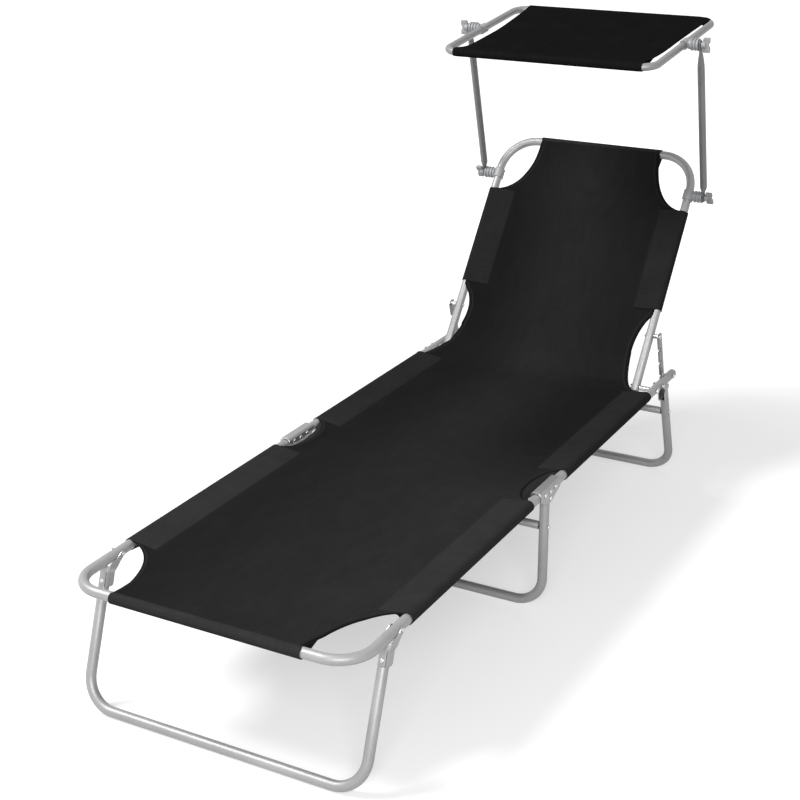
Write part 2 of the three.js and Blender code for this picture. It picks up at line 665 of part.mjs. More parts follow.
// The seat sling ends short of the back pivot, where a free strip of cloth takes the bend
const seatClothStart = HINGE_Y + SLING_GAP / 2;
const seatClothEnd = BACK_PIVOT_Y - BEND_SEAT_REACH;
const seatSleeveEnd = BACK_PIVOT_Y - SEAT_SLEEVE_END;
const backCutLength = (SEAT_SLEEVE_END + BACK_SLEEVE_START) / 2;
const backCutMiddle = BACK_SLEEVE_START - backCutLength;
const backCutX = HALF_WIDTH - BACK_CUT_INSET;

function backCut(s, y) {
  return ellipse(s * backCutX, y + backCutMiddle, BACK_CUT_WIDTH, backCutLength);
}

const seatRuns = sides.map(([, s]) => [
  point(s * HALF_WIDTH, seatClothStart, FRAME_HEIGHT), point(s * HALF_WIDTH, seatSleeveEnd, FRAME_HEIGHT),
]);
const seatSling = sling(
  seatRuns,
  TUBE_RADIUS,
  clothSheet(-HALF_WIDTH, seatClothStart, HALF_WIDTH, seatClothEnd, FRAME_HEIGHT),
  sides.flatMap(([, s]) => [hingeCut(s), cutter(backCut(s, BACK_PIVOT_Y), FRAME_HEIGHT)]),
  keepBetween(seatClothStart, seatClothEnd, FRAME_HEIGHT),
);
add(seat, 'sling_seat', seatSling, 'cloth');

// The backrest, drawn lying flat with its pivot at the group's origin

const back = new THREE.Group();
back.position.set(0, BACK_PIVOT_Y, FRAME_HEIGHT);
back.rotation.x = rad(BACK_ANGLE);
model.add(back);

const backRun = bent([
  point(-backHalfWidth, -BACK_TAIL, 0), point(-backHalfWidth, BACK_LENGTH, 0),
  point(backHalfWidth, BACK_LENGTH, 0), point(backHalfWidth, -BACK_TAIL, 0),
], BACK_CORNER_RADIUS);
const backTube = cut(solid(tube(backRun, TUBE_RADIUS, tubeBore)), sides.flatMap(([, s]) => [
  hole(s * backHalfWidth, 0, 0, boltHole),
  hole(s * backHalfWidth, STRUT_PIVOT, 0, rivetHole),
]));
add(back, 'back_tube', backTube, 'steel');

const backSling = sling(
  [backRun],
  TUBE_RADIUS,
  clothSheet(-backHalfWidth, BEND_BACK_REACH, backHalfWidth, BACK_LENGTH, 0),
  sides.flatMap(([, s]) => [
    cutter(ellipse(s * backHalfWidth, BACK_LENGTH, TOP_CUT_WIDTH, TOP_CUT_LENGTH), 0),
    cutter(backCut(s, 0), 0),
  ]),
  keepBetween(BEND_BACK_REACH, BACK_LENGTH + 3 * TUBE_RADIUS, 0),
);
add(back, 'sling_back', backSling, 'cloth');

// The free strip of cloth over the pivot: a curve from the seat sling up to the back sling
function slingBend() {
  const angle = rad(BACK_ANGLE);
  const along = new THREE.Vector2(Math.cos(angle), Math.sin(angle));
  const out = new THREE.Vector2(-along.y, along.x);
  const start = new THREE.Vector2(seatClothEnd + CLEARANCE - BACK_PIVOT_Y, clothBottom);
  const end = along.clone().multiplyScalar(BEND_BACK_REACH - CLEARANCE).addScaledVector(out, clothBottom);
  const corner = new THREE.Vector2(-clothBottom * Math.tan(angle / 2), clothBottom);
  const low = new THREE.QuadraticBezierCurve(start, corner, end).getPoints(ROUND_SIDES / 2);
  const rise = new THREE.Vector2(0, CLOTH);
  const upper = new THREE.QuadraticBezierCurve(
    start.clone().add(rise),
    corner.clone().add(new THREE.Vector2(-CLOTH * Math.tan(angle / 2), CLOTH)),
    end.clone().addScaledVector(out, CLOTH),
  ).getPoints(ROUND_SIDES / 2);
  const half = backCutX - BACK_CUT_WIDTH;
  const strip = plateX([...low, ...upper.reverse()], -half, half);
  strip.translate(0, BACK_PIVOT_Y, FRAME_HEIGHT);
  return strip;
}
add(seat, 'sling_bend', slingBend(), 'cloth');

// The struts: flat notched bars that hang from the backrest and hook on the pins of the seat tubes

const strutTop = new THREE.Vector2(STRUT_PIVOT, 0).rotateAround(new THREE.Vector2(), rad(BACK_ANGLE));
const strutPin = new THREE.Vector2(STRUT_PIN_Y - BACK_PIVOT_Y, 0);
const strutReach = strutTop.distanceTo(strutPin);
const strutAngle = Math.atan2(strutPin.x - strutTop.x, strutTop.y - strutPin.y);

// Drawn hanging straight down from its pivot. The notches open towards the foot end.
function strut(x) {
  const half = STRUT_WIDTH / 2;
  const bar = new THREE.Shape();
  bar.moveTo(-half, 0);
  bar.absarc(0, -strutReach - STRUT_TAIL, half, Math.PI, 2 * Math.PI, false);
  bar.absarc(0, 0, half, 0, Math.PI, false);
  const outline = bar.getPoints(ROUND_SIDES / 2);
  const plate = solid(plateX(outline, x, x + STRUT_THICKNESS));
  const notches = [];
  for (let i = 0; i < STRUT_NOTCHES; i += 1) {
    const z = (STRUT_NOTCHES - 1 - i) * STRUT_NOTCH_PITCH - strutReach;
    notches.push(solid(barX(STRUT_NOTCH / 2, 4 * STRUT_THICKNESS, x, 0, z)));
    const mouth = STRUT_NOTCH / 2 - CLEARANCE;
    const wide = [x - STRUT_THICKNESS, x + 2 * STRUT_THICKNESS];
    notches.push(solid(block(wide[0], -STRUT_WIDTH, z - mouth, wide[1], 0, z + mouth)));
  }
  return cut(plate, [...notches, solid(barX(rivetHole, 4 * STRUT_THICKNESS, x, 0, 0))]);
}

for (const [side, s] of sides) {
  const near = s < 0 ? -strutInner - STRUT_THICKNESS : strutInner;
  const group = new THREE.Group();
  group.position.set(0, BACK_PIVOT_Y + strutTop.x, FRAME_HEIGHT + strutTop.y);
  group.rotation.x = strutAngle;
  model.add(group);
  add(group, `strut_${side}`, strut(near), 'zinc');
  const ends = [s * headInside, s * (strutInner + STRUT_THICKNESS + CLEARANCE)].sort((a, b) => a - b);
  const collarLength = STRUT_OFFSET - 2 * CLEARANCE;
  const collarX = s * (backHalfWidth + TUBE_RADIUS + STRUT_OFFSET / 2);
  const collar = solid(barX(STRUT_COLLAR_RADIUS, collarLength, collarX, STRUT_PIVOT, 0));
  add(back, `strut_rivet_${side}`, solid(rivet(...ends, STRUT_PIVOT, 0)).add(collar), 'zinc');
}

// Clamps: a split ring that grips a tube, with a ribbed boss that reaches out to the arm. Each is
// drawn round a tube along Y at the group's origin, with the arm to the right.

const armInner = armCentreX - ARM_END_THICKNESS / 2;
const armOuter = armCentreX + ARM_END_THICKNESS / 2;

function clamp(tubeX, tubeRadius) {
  const outer = tubeRadius + CLIP_WALL;
  const run = [point(0, -CLIP_LENGTH / 2, 0), point(0, CLIP_LENGTH / 2, 0)];
  const ring = solid(tube(run, outer, 0, ROUND_SIDES));
  const bossEnd = armInner - CLEARANCE - tubeX;
  const ribPitch = (bossEnd - tubeRadius - CLIP_WALL) / (2 * BOSS_RIBS);
  const profile = [new THREE.Vector2(0, 0), new THREE.Vector2(BOSS_RADIUS - BOSS_RIB_DEPTH, 0)];
  for (let i = 0; i < BOSS_RIBS; i += 1) {
    const from = bossEnd - (2 * (BOSS_RIBS - i) - 1) * ribPitch;
    const to = from + ribPitch;
    const groove = BOSS_RADIUS - BOSS_RIB_DEPTH;
    profile.push(new THREE.Vector2(groove, from - ribPitch / 4), new THREE.Vector2(BOSS_RADIUS, from));
    profile.push(new THREE.Vector2(BOSS_RADIUS, to));
    if (i < BOSS_RIBS - 1) profile.push(new THREE.Vector2(groove, to + ribPitch / 4));
  }
  profile.push(new THREE.Vector2(0, bossEnd));
  const boss = new THREE.LatheGeometry(profile, ROUND_SIDES);
  boss.rotateZ(-Math.PI / 2);
  const bore = solid(tube([point(0, -CLIP_LENGTH, 0), point(0, CLIP_LENGTH, 0)], tubeRadius + CLEARANCE));
  const mouth = solid(block(-2 * outer, -CLIP_LENGTH, -CLIP_MOUTH / 2, 0, CLIP_LENGTH, CLIP_MOUTH / 2));
  const socket = solid(barX(rivetHole, 2 * KNOB_BOLT_REACH, bossEnd, 0, 0));
  return cut(ring.add(solid(boss)), [bore, mouth, socket]);
}

// A wing knob: a hub with two rounded wings and its bolt, drawn along +X from the arm's outer face
function knob() {
  const wing = new THREE.Shape();
  const start = KNOB_HUB_LENGTH / 3;
  const tip = start + KNOB_WING_LENGTH;
  wing.moveTo(start, -KNOB_HUB_RADIUS);
  wing.quadraticCurveTo(start, -KNOB_WING_SPAN, tip, -KNOB_WING_SPAN);
  wing.lineTo(tip, -KNOB_WING_SPAN / 2);
  wing.quadraticCurveTo(KNOB_HUB_LENGTH, 0, tip, KNOB_WING_SPAN / 2);
  wing.lineTo(tip, KNOB_WING_SPAN);
  wing.quadraticCurveTo(start, KNOB_WING_SPAN, start, KNOB_HUB_RADIUS);
  const wings = solid(plateZ(wing, -KNOB_WING_THICKNESS / 2, KNOB_WING_THICKNESS / 2, FILLET_SIDES));
  const hub = solid(barX(KNOB_HUB_RADIUS, KNOB_HUB_LENGTH, KNOB_HUB_LENGTH / 2, 0, 0, TUBE_SIDES));
  const boltLength = KNOB_BOLT_REACH + KNOB_HUB_LENGTH / 2;
  const bolt = solid(barX(RIVET_RADIUS, boltLength, (KNOB_HUB_LENGTH / 2 - KNOB_BOLT_REACH) / 2, 0, 0));
  return wings.add(hub).add(bolt);
}

function mirrored(body, s) {
  return s < 0 ? body.mirror([1, 0, 0]) : body;
}

function addClampSet(level, frame, tubeX, tubeRadius, knobAngle) {
  for (const [side, s] of sides) {
    const gripping = add(frame, `${level}_clamp_${side}`, mirrored(clamp(tubeX, tubeRadius), s), 'plastic');
    gripping.position.x = s * tubeX;
    const turned = add(frame, `${level}_knob_${side}`, mirrored(knob(), s), 'plastic');
    turned.position.x = s * (armOuter + CLEARANCE);
    turned.rotation.x = rad(knobAngle);
  }
}

// The canopy turns on its clamps, and its frame slides through them

const clampPoint = new THREE.Vector2(clampOnBack, 0).rotateAround(new THREE.Vector2(), rad(BACK_ANGLE));
const armFoot = point(0, BACK_PIVOT_Y + clampPoint.x, FRAME_HEIGHT + clampPoint.y);
const armHead = armFoot.clone().add(point(0, -CANOPY_AHEAD, CANOPY_RISE));
const canopy = new THREE.Group();
canopy.position.copy(armHead);
canopy.rotation.x = rad(CANOPY_TILT);
model.add(canopy);

const lowerClamps = new THREE.Group();
lowerClamps.position.y = clampOnBack;
back.add(lowerClamps);
addClampSet('lower', lowerClamps, backHalfWidth, TUBE_RADIUS, LOWER_KNOB_ANGLE);
addClampSet('upper', canopy, canopyHalfWidth, CANOPY_TUBE_RADIUS, UPPER_KNOB_ANGLE);

const canopyRun = bent([
  point(-BUTT_GAP / 2, CANOPY_BACK, 0), point(-canopyHalfWidth, CANOPY_BACK, 0),
  point(-canopyHalfWidth, -CANOPY_FRONT, 0), point(canopyHalfWidth, -CANOPY_FRONT, 0),
  point(canopyHalfWidth, CANOPY_BACK, 0), point(BUTT_GAP / 2, CANOPY_BACK, 0),
], CANOPY_CORNER_RADIUS);
add(canopy, 'canopy_tube', tube(canopyRun, CANOPY_TUBE_RADIUS, canopyBore), 'steel');

// The canopy cloth: sleeves round the front and back tubes with a sheet between them
const sleeveEnd = canopyHalfWidth - CANOPY_CORNER_RADIUS + CANOPY_SLEEVE_PAST;
const clothHalf = canopyHalfWidth - CANOPY_CLOTH_INSET;
const canopyRuns = [-CANOPY_FRONT, CANOPY_BACK].map((y) => [point(-sleeveEnd, y, 0), point(sleeveEnd, y, 0)]);
const canopyTop = CANOPY_TUBE_RADIUS + CLEARANCE;
const canopyCloth = sling(
  canopyRuns,
  CANOPY_TUBE_RADIUS,
  solid(block(-sleeveEnd, -CANOPY_FRONT, canopyTop, sleeveEnd, CANOPY_BACK, canopyTop + CLOTH)),
  sides.map(([, s]) => {
    const middleY = (CANOPY_BACK - CANOPY_FRONT) / 2;
    const length = (CANOPY_FRONT + CANOPY_BACK) / 2 - CANOPY_TUBE_RADIUS;
    return cutter(ellipse(s * sleeveEnd, middleY, sleeveEnd - clothHalf, length), 0);
  }),
);
const canopyTubeSpace = solid(tube(canopyRun, canopyTop, 0, SLEEVE_SIDES));
add(canopy, 'canopy_cloth', canopyCloth.subtract(canopyTubeSpace), 'cloth');

// The arms: tubes flattened at both ends, where the bolts of the knobs pass through them
const armLength = armHead.distanceTo(armFoot);
const armLean = Math.atan2(armHead.z - armFoot.z, armHead.y - armFoot.y) - Math.PI / 2;

function arm() {
  const total = armLength + 2 * ARM_END_REACH;
  const taper = [ARM_FLAT_LENGTH, ARM_FLAT_LENGTH + ARM_TAPER_LENGTH].map((d) => d + ARM_END_REACH);
  const levels = [0, taper[0], taper[1], total - taper[1], total - taper[0], total];
  const shape = new THREE.CylinderGeometry(ARM_RADIUS, ARM_RADIUS, total, TUBE_SIDES, levels.length - 1);
  shape.rotateX(Math.PI / 2);
  const positions = shape.attributes.position;
  const flat = ARM_END_THICKNESS / 2 / ARM_RADIUS;
  for (let i = 0; i < positions.count; i += 1) {
    const level = Math.round(((positions.getZ(i) + total / 2) / total) * (levels.length - 1));
    const isFlat = level < 2 || level > levels.length - 3;
    positions.setZ(i, levels[level] - ARM_END_REACH);
    if (isFlat) {
      positions.setX(i, positions.getX(i) * flat);
      positions.setY(i, positions.getY(i) * ARM_WIDENING_SHARE);
    }
  }
  return cut(solid(shape), [hole(0, 0, 0, rivetHole), hole(0, 0, armLength, rivetHole)]);
}

for (const [side, s] of sides) {
  const mesh = add(model, `arm_${side}`, arm(), 'steel');
  mesh.position.set(s * armCentreX, armFoot.y, armFoot.z);
  mesh.rotation.x = armLean;
}

// The origin goes to the floor under the middle of the part
const bounds = new THREE.Box3().setFromObject(model, true);
const middle = bounds.getCenter(new THREE.Vector3());
model.position.set(-middle.x, -middle.y, -bounds.min.z);

export default model;
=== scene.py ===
import json
import math
from contextlib import contextmanager

import bmesh
import bpy
import numpy as np
from mathutils import Matrix, Vector

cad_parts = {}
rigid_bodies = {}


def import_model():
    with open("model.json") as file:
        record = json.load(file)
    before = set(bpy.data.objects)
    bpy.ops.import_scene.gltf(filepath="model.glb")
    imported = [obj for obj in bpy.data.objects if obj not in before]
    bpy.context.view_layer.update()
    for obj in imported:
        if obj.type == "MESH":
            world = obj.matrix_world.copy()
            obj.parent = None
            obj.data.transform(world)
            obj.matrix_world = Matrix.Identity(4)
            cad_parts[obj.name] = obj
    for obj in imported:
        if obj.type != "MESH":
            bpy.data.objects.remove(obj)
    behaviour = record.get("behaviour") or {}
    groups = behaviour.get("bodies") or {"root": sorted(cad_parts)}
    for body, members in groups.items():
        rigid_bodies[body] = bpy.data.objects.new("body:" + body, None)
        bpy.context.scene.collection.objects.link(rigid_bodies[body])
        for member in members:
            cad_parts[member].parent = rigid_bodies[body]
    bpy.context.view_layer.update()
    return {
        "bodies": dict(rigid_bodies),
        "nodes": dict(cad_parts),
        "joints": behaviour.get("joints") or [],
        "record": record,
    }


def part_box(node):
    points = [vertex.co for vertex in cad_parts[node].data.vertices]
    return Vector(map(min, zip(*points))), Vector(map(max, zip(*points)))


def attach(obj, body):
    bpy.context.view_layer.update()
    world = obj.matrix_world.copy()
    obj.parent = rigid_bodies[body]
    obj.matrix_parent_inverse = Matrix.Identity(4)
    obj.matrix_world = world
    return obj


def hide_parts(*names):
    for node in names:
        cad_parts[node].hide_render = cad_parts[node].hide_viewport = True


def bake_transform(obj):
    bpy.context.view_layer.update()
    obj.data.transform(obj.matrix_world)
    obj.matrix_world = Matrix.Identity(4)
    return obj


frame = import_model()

# Sizes in millimetres, as in the CAD source: y = 0 at the front tube, z = 0 at the floor
TUBE = 9.5
WALL = 1.0
HALF = 280.0
HIGH = 255.0
FOOT_ROUND = 62.0
HINGE_Y = 720.0
SPREAD = 24.5
PIVOT_RISE = 2.0
BACK_Y = 1312.5
SEAT_END = 1438.0
LEAN = math.radians(19.5)
FOOT_LEG_Y = 105.0
REAR_LEG_Y = 1375.0
LEG_PIVOT = 29.0
LEG_TOP = -48.0
LEG_ROUND = 58.0
BAR = 8.0
STAND_BAR_Z = 180.0
REAR_BAR_Z = 172.0
BACK_A = math.radians(52.8)
BACK_HALF = 238.5
BACK_LONG = 560.0
BACK_ROUND = 80.0
BACK_TAIL = 9.0
STRUT_AT = 124.0
STRUT_PIN_Y = 1418.0
STRUT_OFF = 11.0
CLAMP_AT = 467.5
ARM_X = 275.5
CAN_Y, CAN_Z = 1500.0, 984.0
CAN_TILT = math.radians(6.4)
CAN_HALF = 241.5
CAN_FRONT, CAN_BACK = 199.0, 194.0
CAN_ROUND = 34.0
CAN_TUBE = 8.0
HEAD_GAP = 0.3

MM = 1000
SIDES = (("left", -1), ("right", 1))
QUARTER = [math.radians(15 * k) for k in range(7)]

# The row frame against the drawing frame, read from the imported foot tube: a prism of twelve flats
apothem = TUBE * math.cos(math.pi / 12)
low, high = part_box("foot_tube")
SHIFT_Y = -(low[1] * MM + apothem)
SHIFT_Z = (HIGH - apothem) - low[2] * MM


def to_row(x, y, z):
    """Drawing millimetres to row metres."""
    return Vector((x, y - SHIFT_Y, z - SHIFT_Z)) / MM


def level(x, y, z):
    """The frame of the drawing itself."""
    return (x, y, z)


def turned(y0, z0, angle):
    """A frame turned about X at (y0, z0): local (x, along, normal) to drawing millimetres."""
    c, s = math.cos(angle), math.sin(angle)
    return lambda x, y, z: (x, y0 + y * c - z * s, z0 + y * s + z * c)


def held(value):
    """A value kept between 0 and 1."""
    return min(1.0, max(0.0, value))


def eased(value):
    """A kept value that starts and ends gently."""
    t = held(value)
    return t * t * (3 - 2 * t)


def read(table, place):
    """The second value of a table's rows at a place between their first values."""
    return float(np.interp(place, [row[0] for row in table], [row[1] for row in table]))


def link(obj):
    bpy.context.scene.collection.objects.link(obj)
    return obj


back = turned(BACK_Y, HIGH, BACK_A)
canopy = turned(CAN_Y, CAN_Z, CAN_TILT)
foot_leg = turned(FOOT_LEG_Y, HIGH, -LEAN)
rear_leg = turned(REAR_LEG_Y, HIGH, LEAN)

# Camera, fitted to the straight tubes of the photograph
YAW, PITCH, ROLL = math.radians(28.84), math.radians(21.8), math.radians(-0.32)
PICTURE_PX, FOCAL_PX = 800, 1557.363
SENSOR = 36
EYE = (1336.6, -1769.9, 1519.4)
ahead = Vector((-math.sin(YAW) * math.cos(PITCH), math.cos(YAW) * math.cos(PITCH), -math.sin(PITCH)))
level_right = Vector((math.cos(YAW), math.sin(YAW), 0))
level_up = level_right.cross(ahead)
right = level_right * math.cos(ROLL) + level_up * math.sin(ROLL)
up = level_up * math.cos(ROLL) - level_right * math.sin(ROLL)
camera = link(bpy.data.objects.new("camera", bpy.data.cameras.new("camera")))
camera.data.sensor_width = SENSOR
camera.data.sensor_fit = "HORIZONTAL"
camera.data.lens = SENSOR * FOCAL_PX / PICTURE_PX
camera.matrix_world = Matrix.Translation(to_row(*EYE)) @ Matrix((right, up, -ahead)).transposed().to_4x4()
bpy.context.scene.camera = camera


# Materials
class Nodes:
    """A small helper that writes the node tree of a material or a world."""

    def __init__(self, owner):
        owner.use_nodes = True
        self.owner = owner
        self.tree = owner.node_tree
        self.bsdf = self.tree.nodes.get("Principled BSDF")

    def new(self, kind, links=(), **values):
        node = self.tree.nodes.new(kind)
        for key, value in values.items():
            setattr(node, key, value)
        for socket, source in dict(links).items():
            self.put(node.inputs[socket], source)
        return node

    def put(self, socket, source):
        if isinstance(source, bpy.types.NodeSocket):
            self.tree.links.new(source, socket)
        elif isinstance(source, bpy.types.Node):
            self.tree.links.new(source.outputs[0], socket)
        else:
            socket.default_value = source

    def set(self, **values):
        for key, value in values.items():
            self.put(self.bsdf.inputs[key.replace("_", " ")], value)

    def place(self):
        return self.new("ShaderNodeTexCoord").outputs["Object"]

    def stretched(self, vector, scale):
        return self.new("ShaderNodeMapping", {"Vector": vector, "Scale": scale})

    def ramp(self, source, first, last, dark, light):
        """Dark below the first share, light above the last one."""
        node = self.new("ShaderNodeValToRGB", {"Fac": source})
        for element, at, tint in zip(node.color_ramp.elements, (first, last), (dark, light)):
            element.position = at
            element.color = (*tint, 1)
        return node

    def noise(self, scale, detail, rough, vector):
        links = {"Scale": scale, "Detail": detail, "Roughness": rough, "Vector": vector}
        return self.new("ShaderNodeTexNoise", links).outputs["Fac"]

    def bump(self, height, strength, distance, normal=None):
        links = {"Height": height, "Strength": strength, "Distance": distance}
        if normal is not None:
            links["Normal"] = normal
        return self.new("ShaderNodeBump", links)

    def range(self, source, low, high):
        return self.new("ShaderNodeMapRange", {"Value": source, "To Min": low, "To Max": high})

    def math(self, operation, a, b=0.0, c=0.0):
        return self.new("ShaderNodeMath", {0: a, 1: b, 2: c}, operation=operation)

    def mix(self, factor, a, b):
        node = self.new("ShaderNodeMix", data_type="RGBA")
        for index, source in ((0, factor), (6, a), (7, b)):
            self.put(node.inputs[index], source)
        return node.outputs[2]

    def seen(self):
        """1 for the rays that show the white background."""
        path = self.new("ShaderNodeLightPath").outputs
        direct = self.math("MAXIMUM", path["Is Camera Ray"], path["Is Glossy Ray"])
        return self.math("MAXIMUM", direct, path["Is Transmission Ray"])


def material(name):
    return Nodes(bpy.data.materials.new(name))


def metal(name, dark, light, rough, metallic, grain=0.0006):
    """Metal with a cloudy tone, worn gloss and a fine grain."""
    n = material(name)
    place = n.place()
    cloud = n.noise(scale=9, detail=4, rough=0.6, vector=place)
    fine = n.noise(scale=900, detail=2, rough=0.5, vector=place)
    wear = n.noise(scale=60, detail=3, rough=0.6, vector=place)
    n.set(Base_Color=n.ramp(cloud, 0.32, 0.68, dark, light), Metallic=metallic)
    n.set(Roughness=n.range(wear, rough - 0.06, rough + 0.10))
    n.set(Normal=n.bump(fine, strength=0.35, distance=grain))
    return n.owner


PAINT = {"rough": 0.42, "metallic": 0.40}
PLATING = {"rough": 0.32, "metallic": 0.70, "grain": 0.0002}
STEEL = metal("tube_steel", (0.29, 0.29, 0.293), (0.35, 0.35, 0.353), **PAINT)
ZINC = metal("zinc_sheet", (0.30, 0.30, 0.303), (0.37, 0.37, 0.373), **PLATING)
CANOPY_STEEL = metal("canopy_steel", (0.22, 0.22, 0.223), (0.27, 0.27, 0.273), **PAINT)
ARM_STEEL = metal("arm_steel", (0.15, 0.15, 0.152), (0.19, 0.19, 0.192), **PAINT)
DULL = metal("strut_steel", (0.19, 0.19, 0.193), (0.26, 0.26, 0.263), **PLATING)
# Bright rivet metal, also used for painted highlights on the pressed sheets' rims and the saddles' foot-end
# lips.
BRIGHT_AND_HIGHLIGHT = metal("rivet_steel_and_highlight", (0.50, 0.50, 0.50), (0.66, 0.66, 0.66), rough=0.20, metallic=0.9)


def plastic(name, dark, light, rough):
    """Moulded plastic with a soft tone and a fine grain."""
    n = material(name)
    cloud = n.noise(scale=30, detail=4, rough=0.6, vector=n.place())
    grain = n.noise(scale=1500, detail=2, rough=0.5, vector=n.place())
    n.set(Base_Color=n.ramp(cloud, 0.3, 0.7, dark, light))
    n.set(Roughness=n.range(grain, rough - 0.05, rough + 0.08))
    n.set(Normal=n.bump(grain, strength=0.3, distance=0.0004))
    return n.owner


PLASTIC = plastic("clamp_plastic", (0.25, 0.254, 0.258), (0.31, 0.314, 0.318), rough=0.42)
CAP = plastic("cap_plastic", (0.20, 0.205, 0.21), (0.25, 0.255, 0.26), rough=0.48)

# The tone band's factors: paler for the double ply and painted light, darker for the dark hem and painted
# shading.
PLY_AND_LIGHT_FACTOR, HEM_AND_SHADE_FACTOR = 1.6, 0.5
THREAD = 0.9


def cloth(name, dark, light, shine):
    """Close-woven polyester: warp and weft bumps from the two flat coordinates of the cloth.

    The third coordinate is its tone: up to 1 where the cloth lies double and where light is painted on it,
    down to -1 in a dark hem and where shading is painted on it.
    """
    n = material(name)
    flat = n.new("ShaderNodeAttribute", attribute_name="flat").outputs["Vector"]
    parts = n.new("ShaderNodeSeparateXYZ", {"Vector": flat}).outputs
    turns = 2 * math.pi * MM / THREAD
    warp = n.math("SINE", n.math("MULTIPLY", parts["X"], turns))
    weft = n.math("SINE", n.math("MULTIPLY", parts["Y"], turns))
    slub, cross = [n.noise(scale=220, detail=3, rough=0.6, vector=n.stretched(flat, stretch))
                   for stretch in ((1, 0.08, 1), (0.08, 1, 1))]
    threads = n.math("ADD", slub, cross)
    soft = n.noise(scale=14, detail=4, rough=0.55, vector=flat)
    tone = n.math("MULTIPLY_ADD", threads, 0.5, n.math("MULTIPLY", soft, 0.5))
    plain, double_ply_and_light, hem_and_shade = [
        n.ramp(tone, 0.42, 0.95, [factor * c for c in dark], [factor * c for c in light]).outputs[0]
        for factor in (1, PLY_AND_LIGHT_FACTOR, HEM_AND_SHADE_FACTOR)]
    band = parts["Z"]
    n.set(Base_Color=n.mix(n.math("MULTIPLY", band, -1), n.mix(band, plain, double_ply_and_light), hem_and_shade))
    n.set(Roughness=n.range(threads, 0.60, 0.85), Specular_IOR_Level=shine)
    woven = n.bump(n.math("MULTIPLY", warp, weft), strength=0.25, distance=0.0003)
    n.set(Normal=n.bump(threads, strength=0.35, distance=0.0005, normal=woven))
    return n.owner


CLOTH = cloth("sling_cloth", (0.0108, 0.0108, 0.0112), (0.0178, 0.0178, 0.0184), shine=0.012)
CANOPY_CLOTH = cloth("canopy_cloth", (0.0050, 0.0050, 0.0052), (0.0090, 0.0090, 0.0093), shine=0.0)


# Mesh helpers
def carried(obj, body, replaces):
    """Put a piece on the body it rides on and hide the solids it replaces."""
    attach(obj, body)
    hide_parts(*replaces)
    return obj


def solid(name, shape, mat, frame=level, smooth_edge=0.0, flat=None):
    """A mesh of (verts in a frame's millimetres, faces), with its edges rounded where a size is given."""
    mesh = bpy.data.meshes.new(name)
    mesh.from_pydata([to_row(*frame(*v)) for v in shape[0]], [], shape[1])
    if flat is not None:
        attribute = mesh.attributes.new("flat", "FLOAT_VECTOR", "POINT")
        attribute.data.foreach_set("vector", (np.array(flat) / (MM, MM, 1)).astype(np.float32).ravel())
    obj = link(bpy.data.objects.new(name, mesh))
    mesh.materials.append(mat)
    joined(obj)
    if smooth_edge:
        bevel(obj, smooth_edge, segments=3, angle=34)
        apply(obj)
    return obj


def piece(name, shape, mat, body, node, frame=level, smooth_edge=0.0):
    carried(solid(name, shape, mat, frame, smooth_edge), body, [node])


def bevel(obj, width, segments, angle):
    edge = obj.modifiers.new("edge", "BEVEL")
    edge.width = width / MM
    edge.segments = segments
    edge.limit_method = "ANGLE"
    edge.angle_limit = math.radians(angle)


@contextmanager
def edited(obj):
    """The mesh of a piece, open for edits."""
    work = bmesh.new()
    work.from_mesh(obj.data)
    yield work
    work.to_mesh(obj.data)
    work.free()


MERGE, SHARP = 2e-6, math.radians(38)


def joined(obj):
    """Points that coincide become one, and all faces look outwards."""
    with edited(obj) as work:
        bmesh.ops.remove_doubles(work, verts=work.verts, dist=MERGE)
        bmesh.ops.recalc_face_normals(work, faces=work.faces)
    obj.data.shade_smooth()
    sharpen(obj)


def sharpen(obj):
    """Edges that turn by more than SHARP are shown sharp."""
    with edited(obj) as work:
        for e in work.edges:
            if len(e.link_faces) == 2:
                e.smooth = e.calc_face_angle(0) < SHARP


def apply(obj):
    """Turn modifiers into mesh."""
    graph = bpy.context.evaluated_depsgraph_get()
    graph.update()
    mesh = bpy.data.meshes.new_from_object(obj.evaluated_get(graph))
    obj.modifiers.clear()
    obj.data = mesh
    mesh.shade_smooth()
    sharpen(obj)


def rounded(corners, radius, steps=14):
    """A run of points through corners that are each rounded to a radius."""
    points = [Vector(corners[0])]
    for i in range(1, len(corners) - 1):
        here = Vector(corners[i])
        a = (Vector(corners[i - 1]) - here).normalized()
        b = (Vector(corners[i + 1]) - here).normalized()
        half = a.angle(b) / 2
        centre = here + (a + b).normalized() * radius / math.sin(half)
        start = here + a * radius / math.tan(half) - centre
        end = here + b * radius / math.tan(half) - centre
        turn = start.angle(end)
        for k in range(steps + 1):
            t = k / steps
            arc = start * math.sin((1 - t) * turn) + end * math.sin(t * turn)
            points.append(centre + arc / math.sin(turn))
    points.append(Vector(corners[-1]))
    return points


def circle(sides):
    turns = [2 * math.pi * k / sides for k in range(sides)]
    return [(math.cos(a), math.sin(a)) for a in turns]


def mirrored(half, middle):
    """A section across X, from its half on one side and the point on its middle line."""
    return half + [middle] + [(-x, v) for x, v in half[::-1]]


def ring_band(outer, inner, turns, rise=0.0):
    """The outline of a part of a ring."""
    out = [(outer * math.cos(a), outer * math.sin(a) + rise) for a in turns]
    return out + [(inner * math.cos(a), inner * math.sin(a) + rise) for a in turns[::-1]]


def strip(rows, width, base=0, ring=False):
    """Faces between rows of points. In a ring each row's last point joins its first."""
    faces = []
    for i in range(rows - 1):
        here = base + i * width
        for k in range(width if ring else width - 1):
            j = (k + 1) % width
            faces.append((here + k, here + j, here + width + j, here + width + k))
    return faces


def capped(rows, sides):
    """Faces of a closed tube of rings."""
    last = rows * sides
    return strip(rows, sides, ring=True) + [tuple(reversed(range(sides))), tuple(range(last - sides, last))]


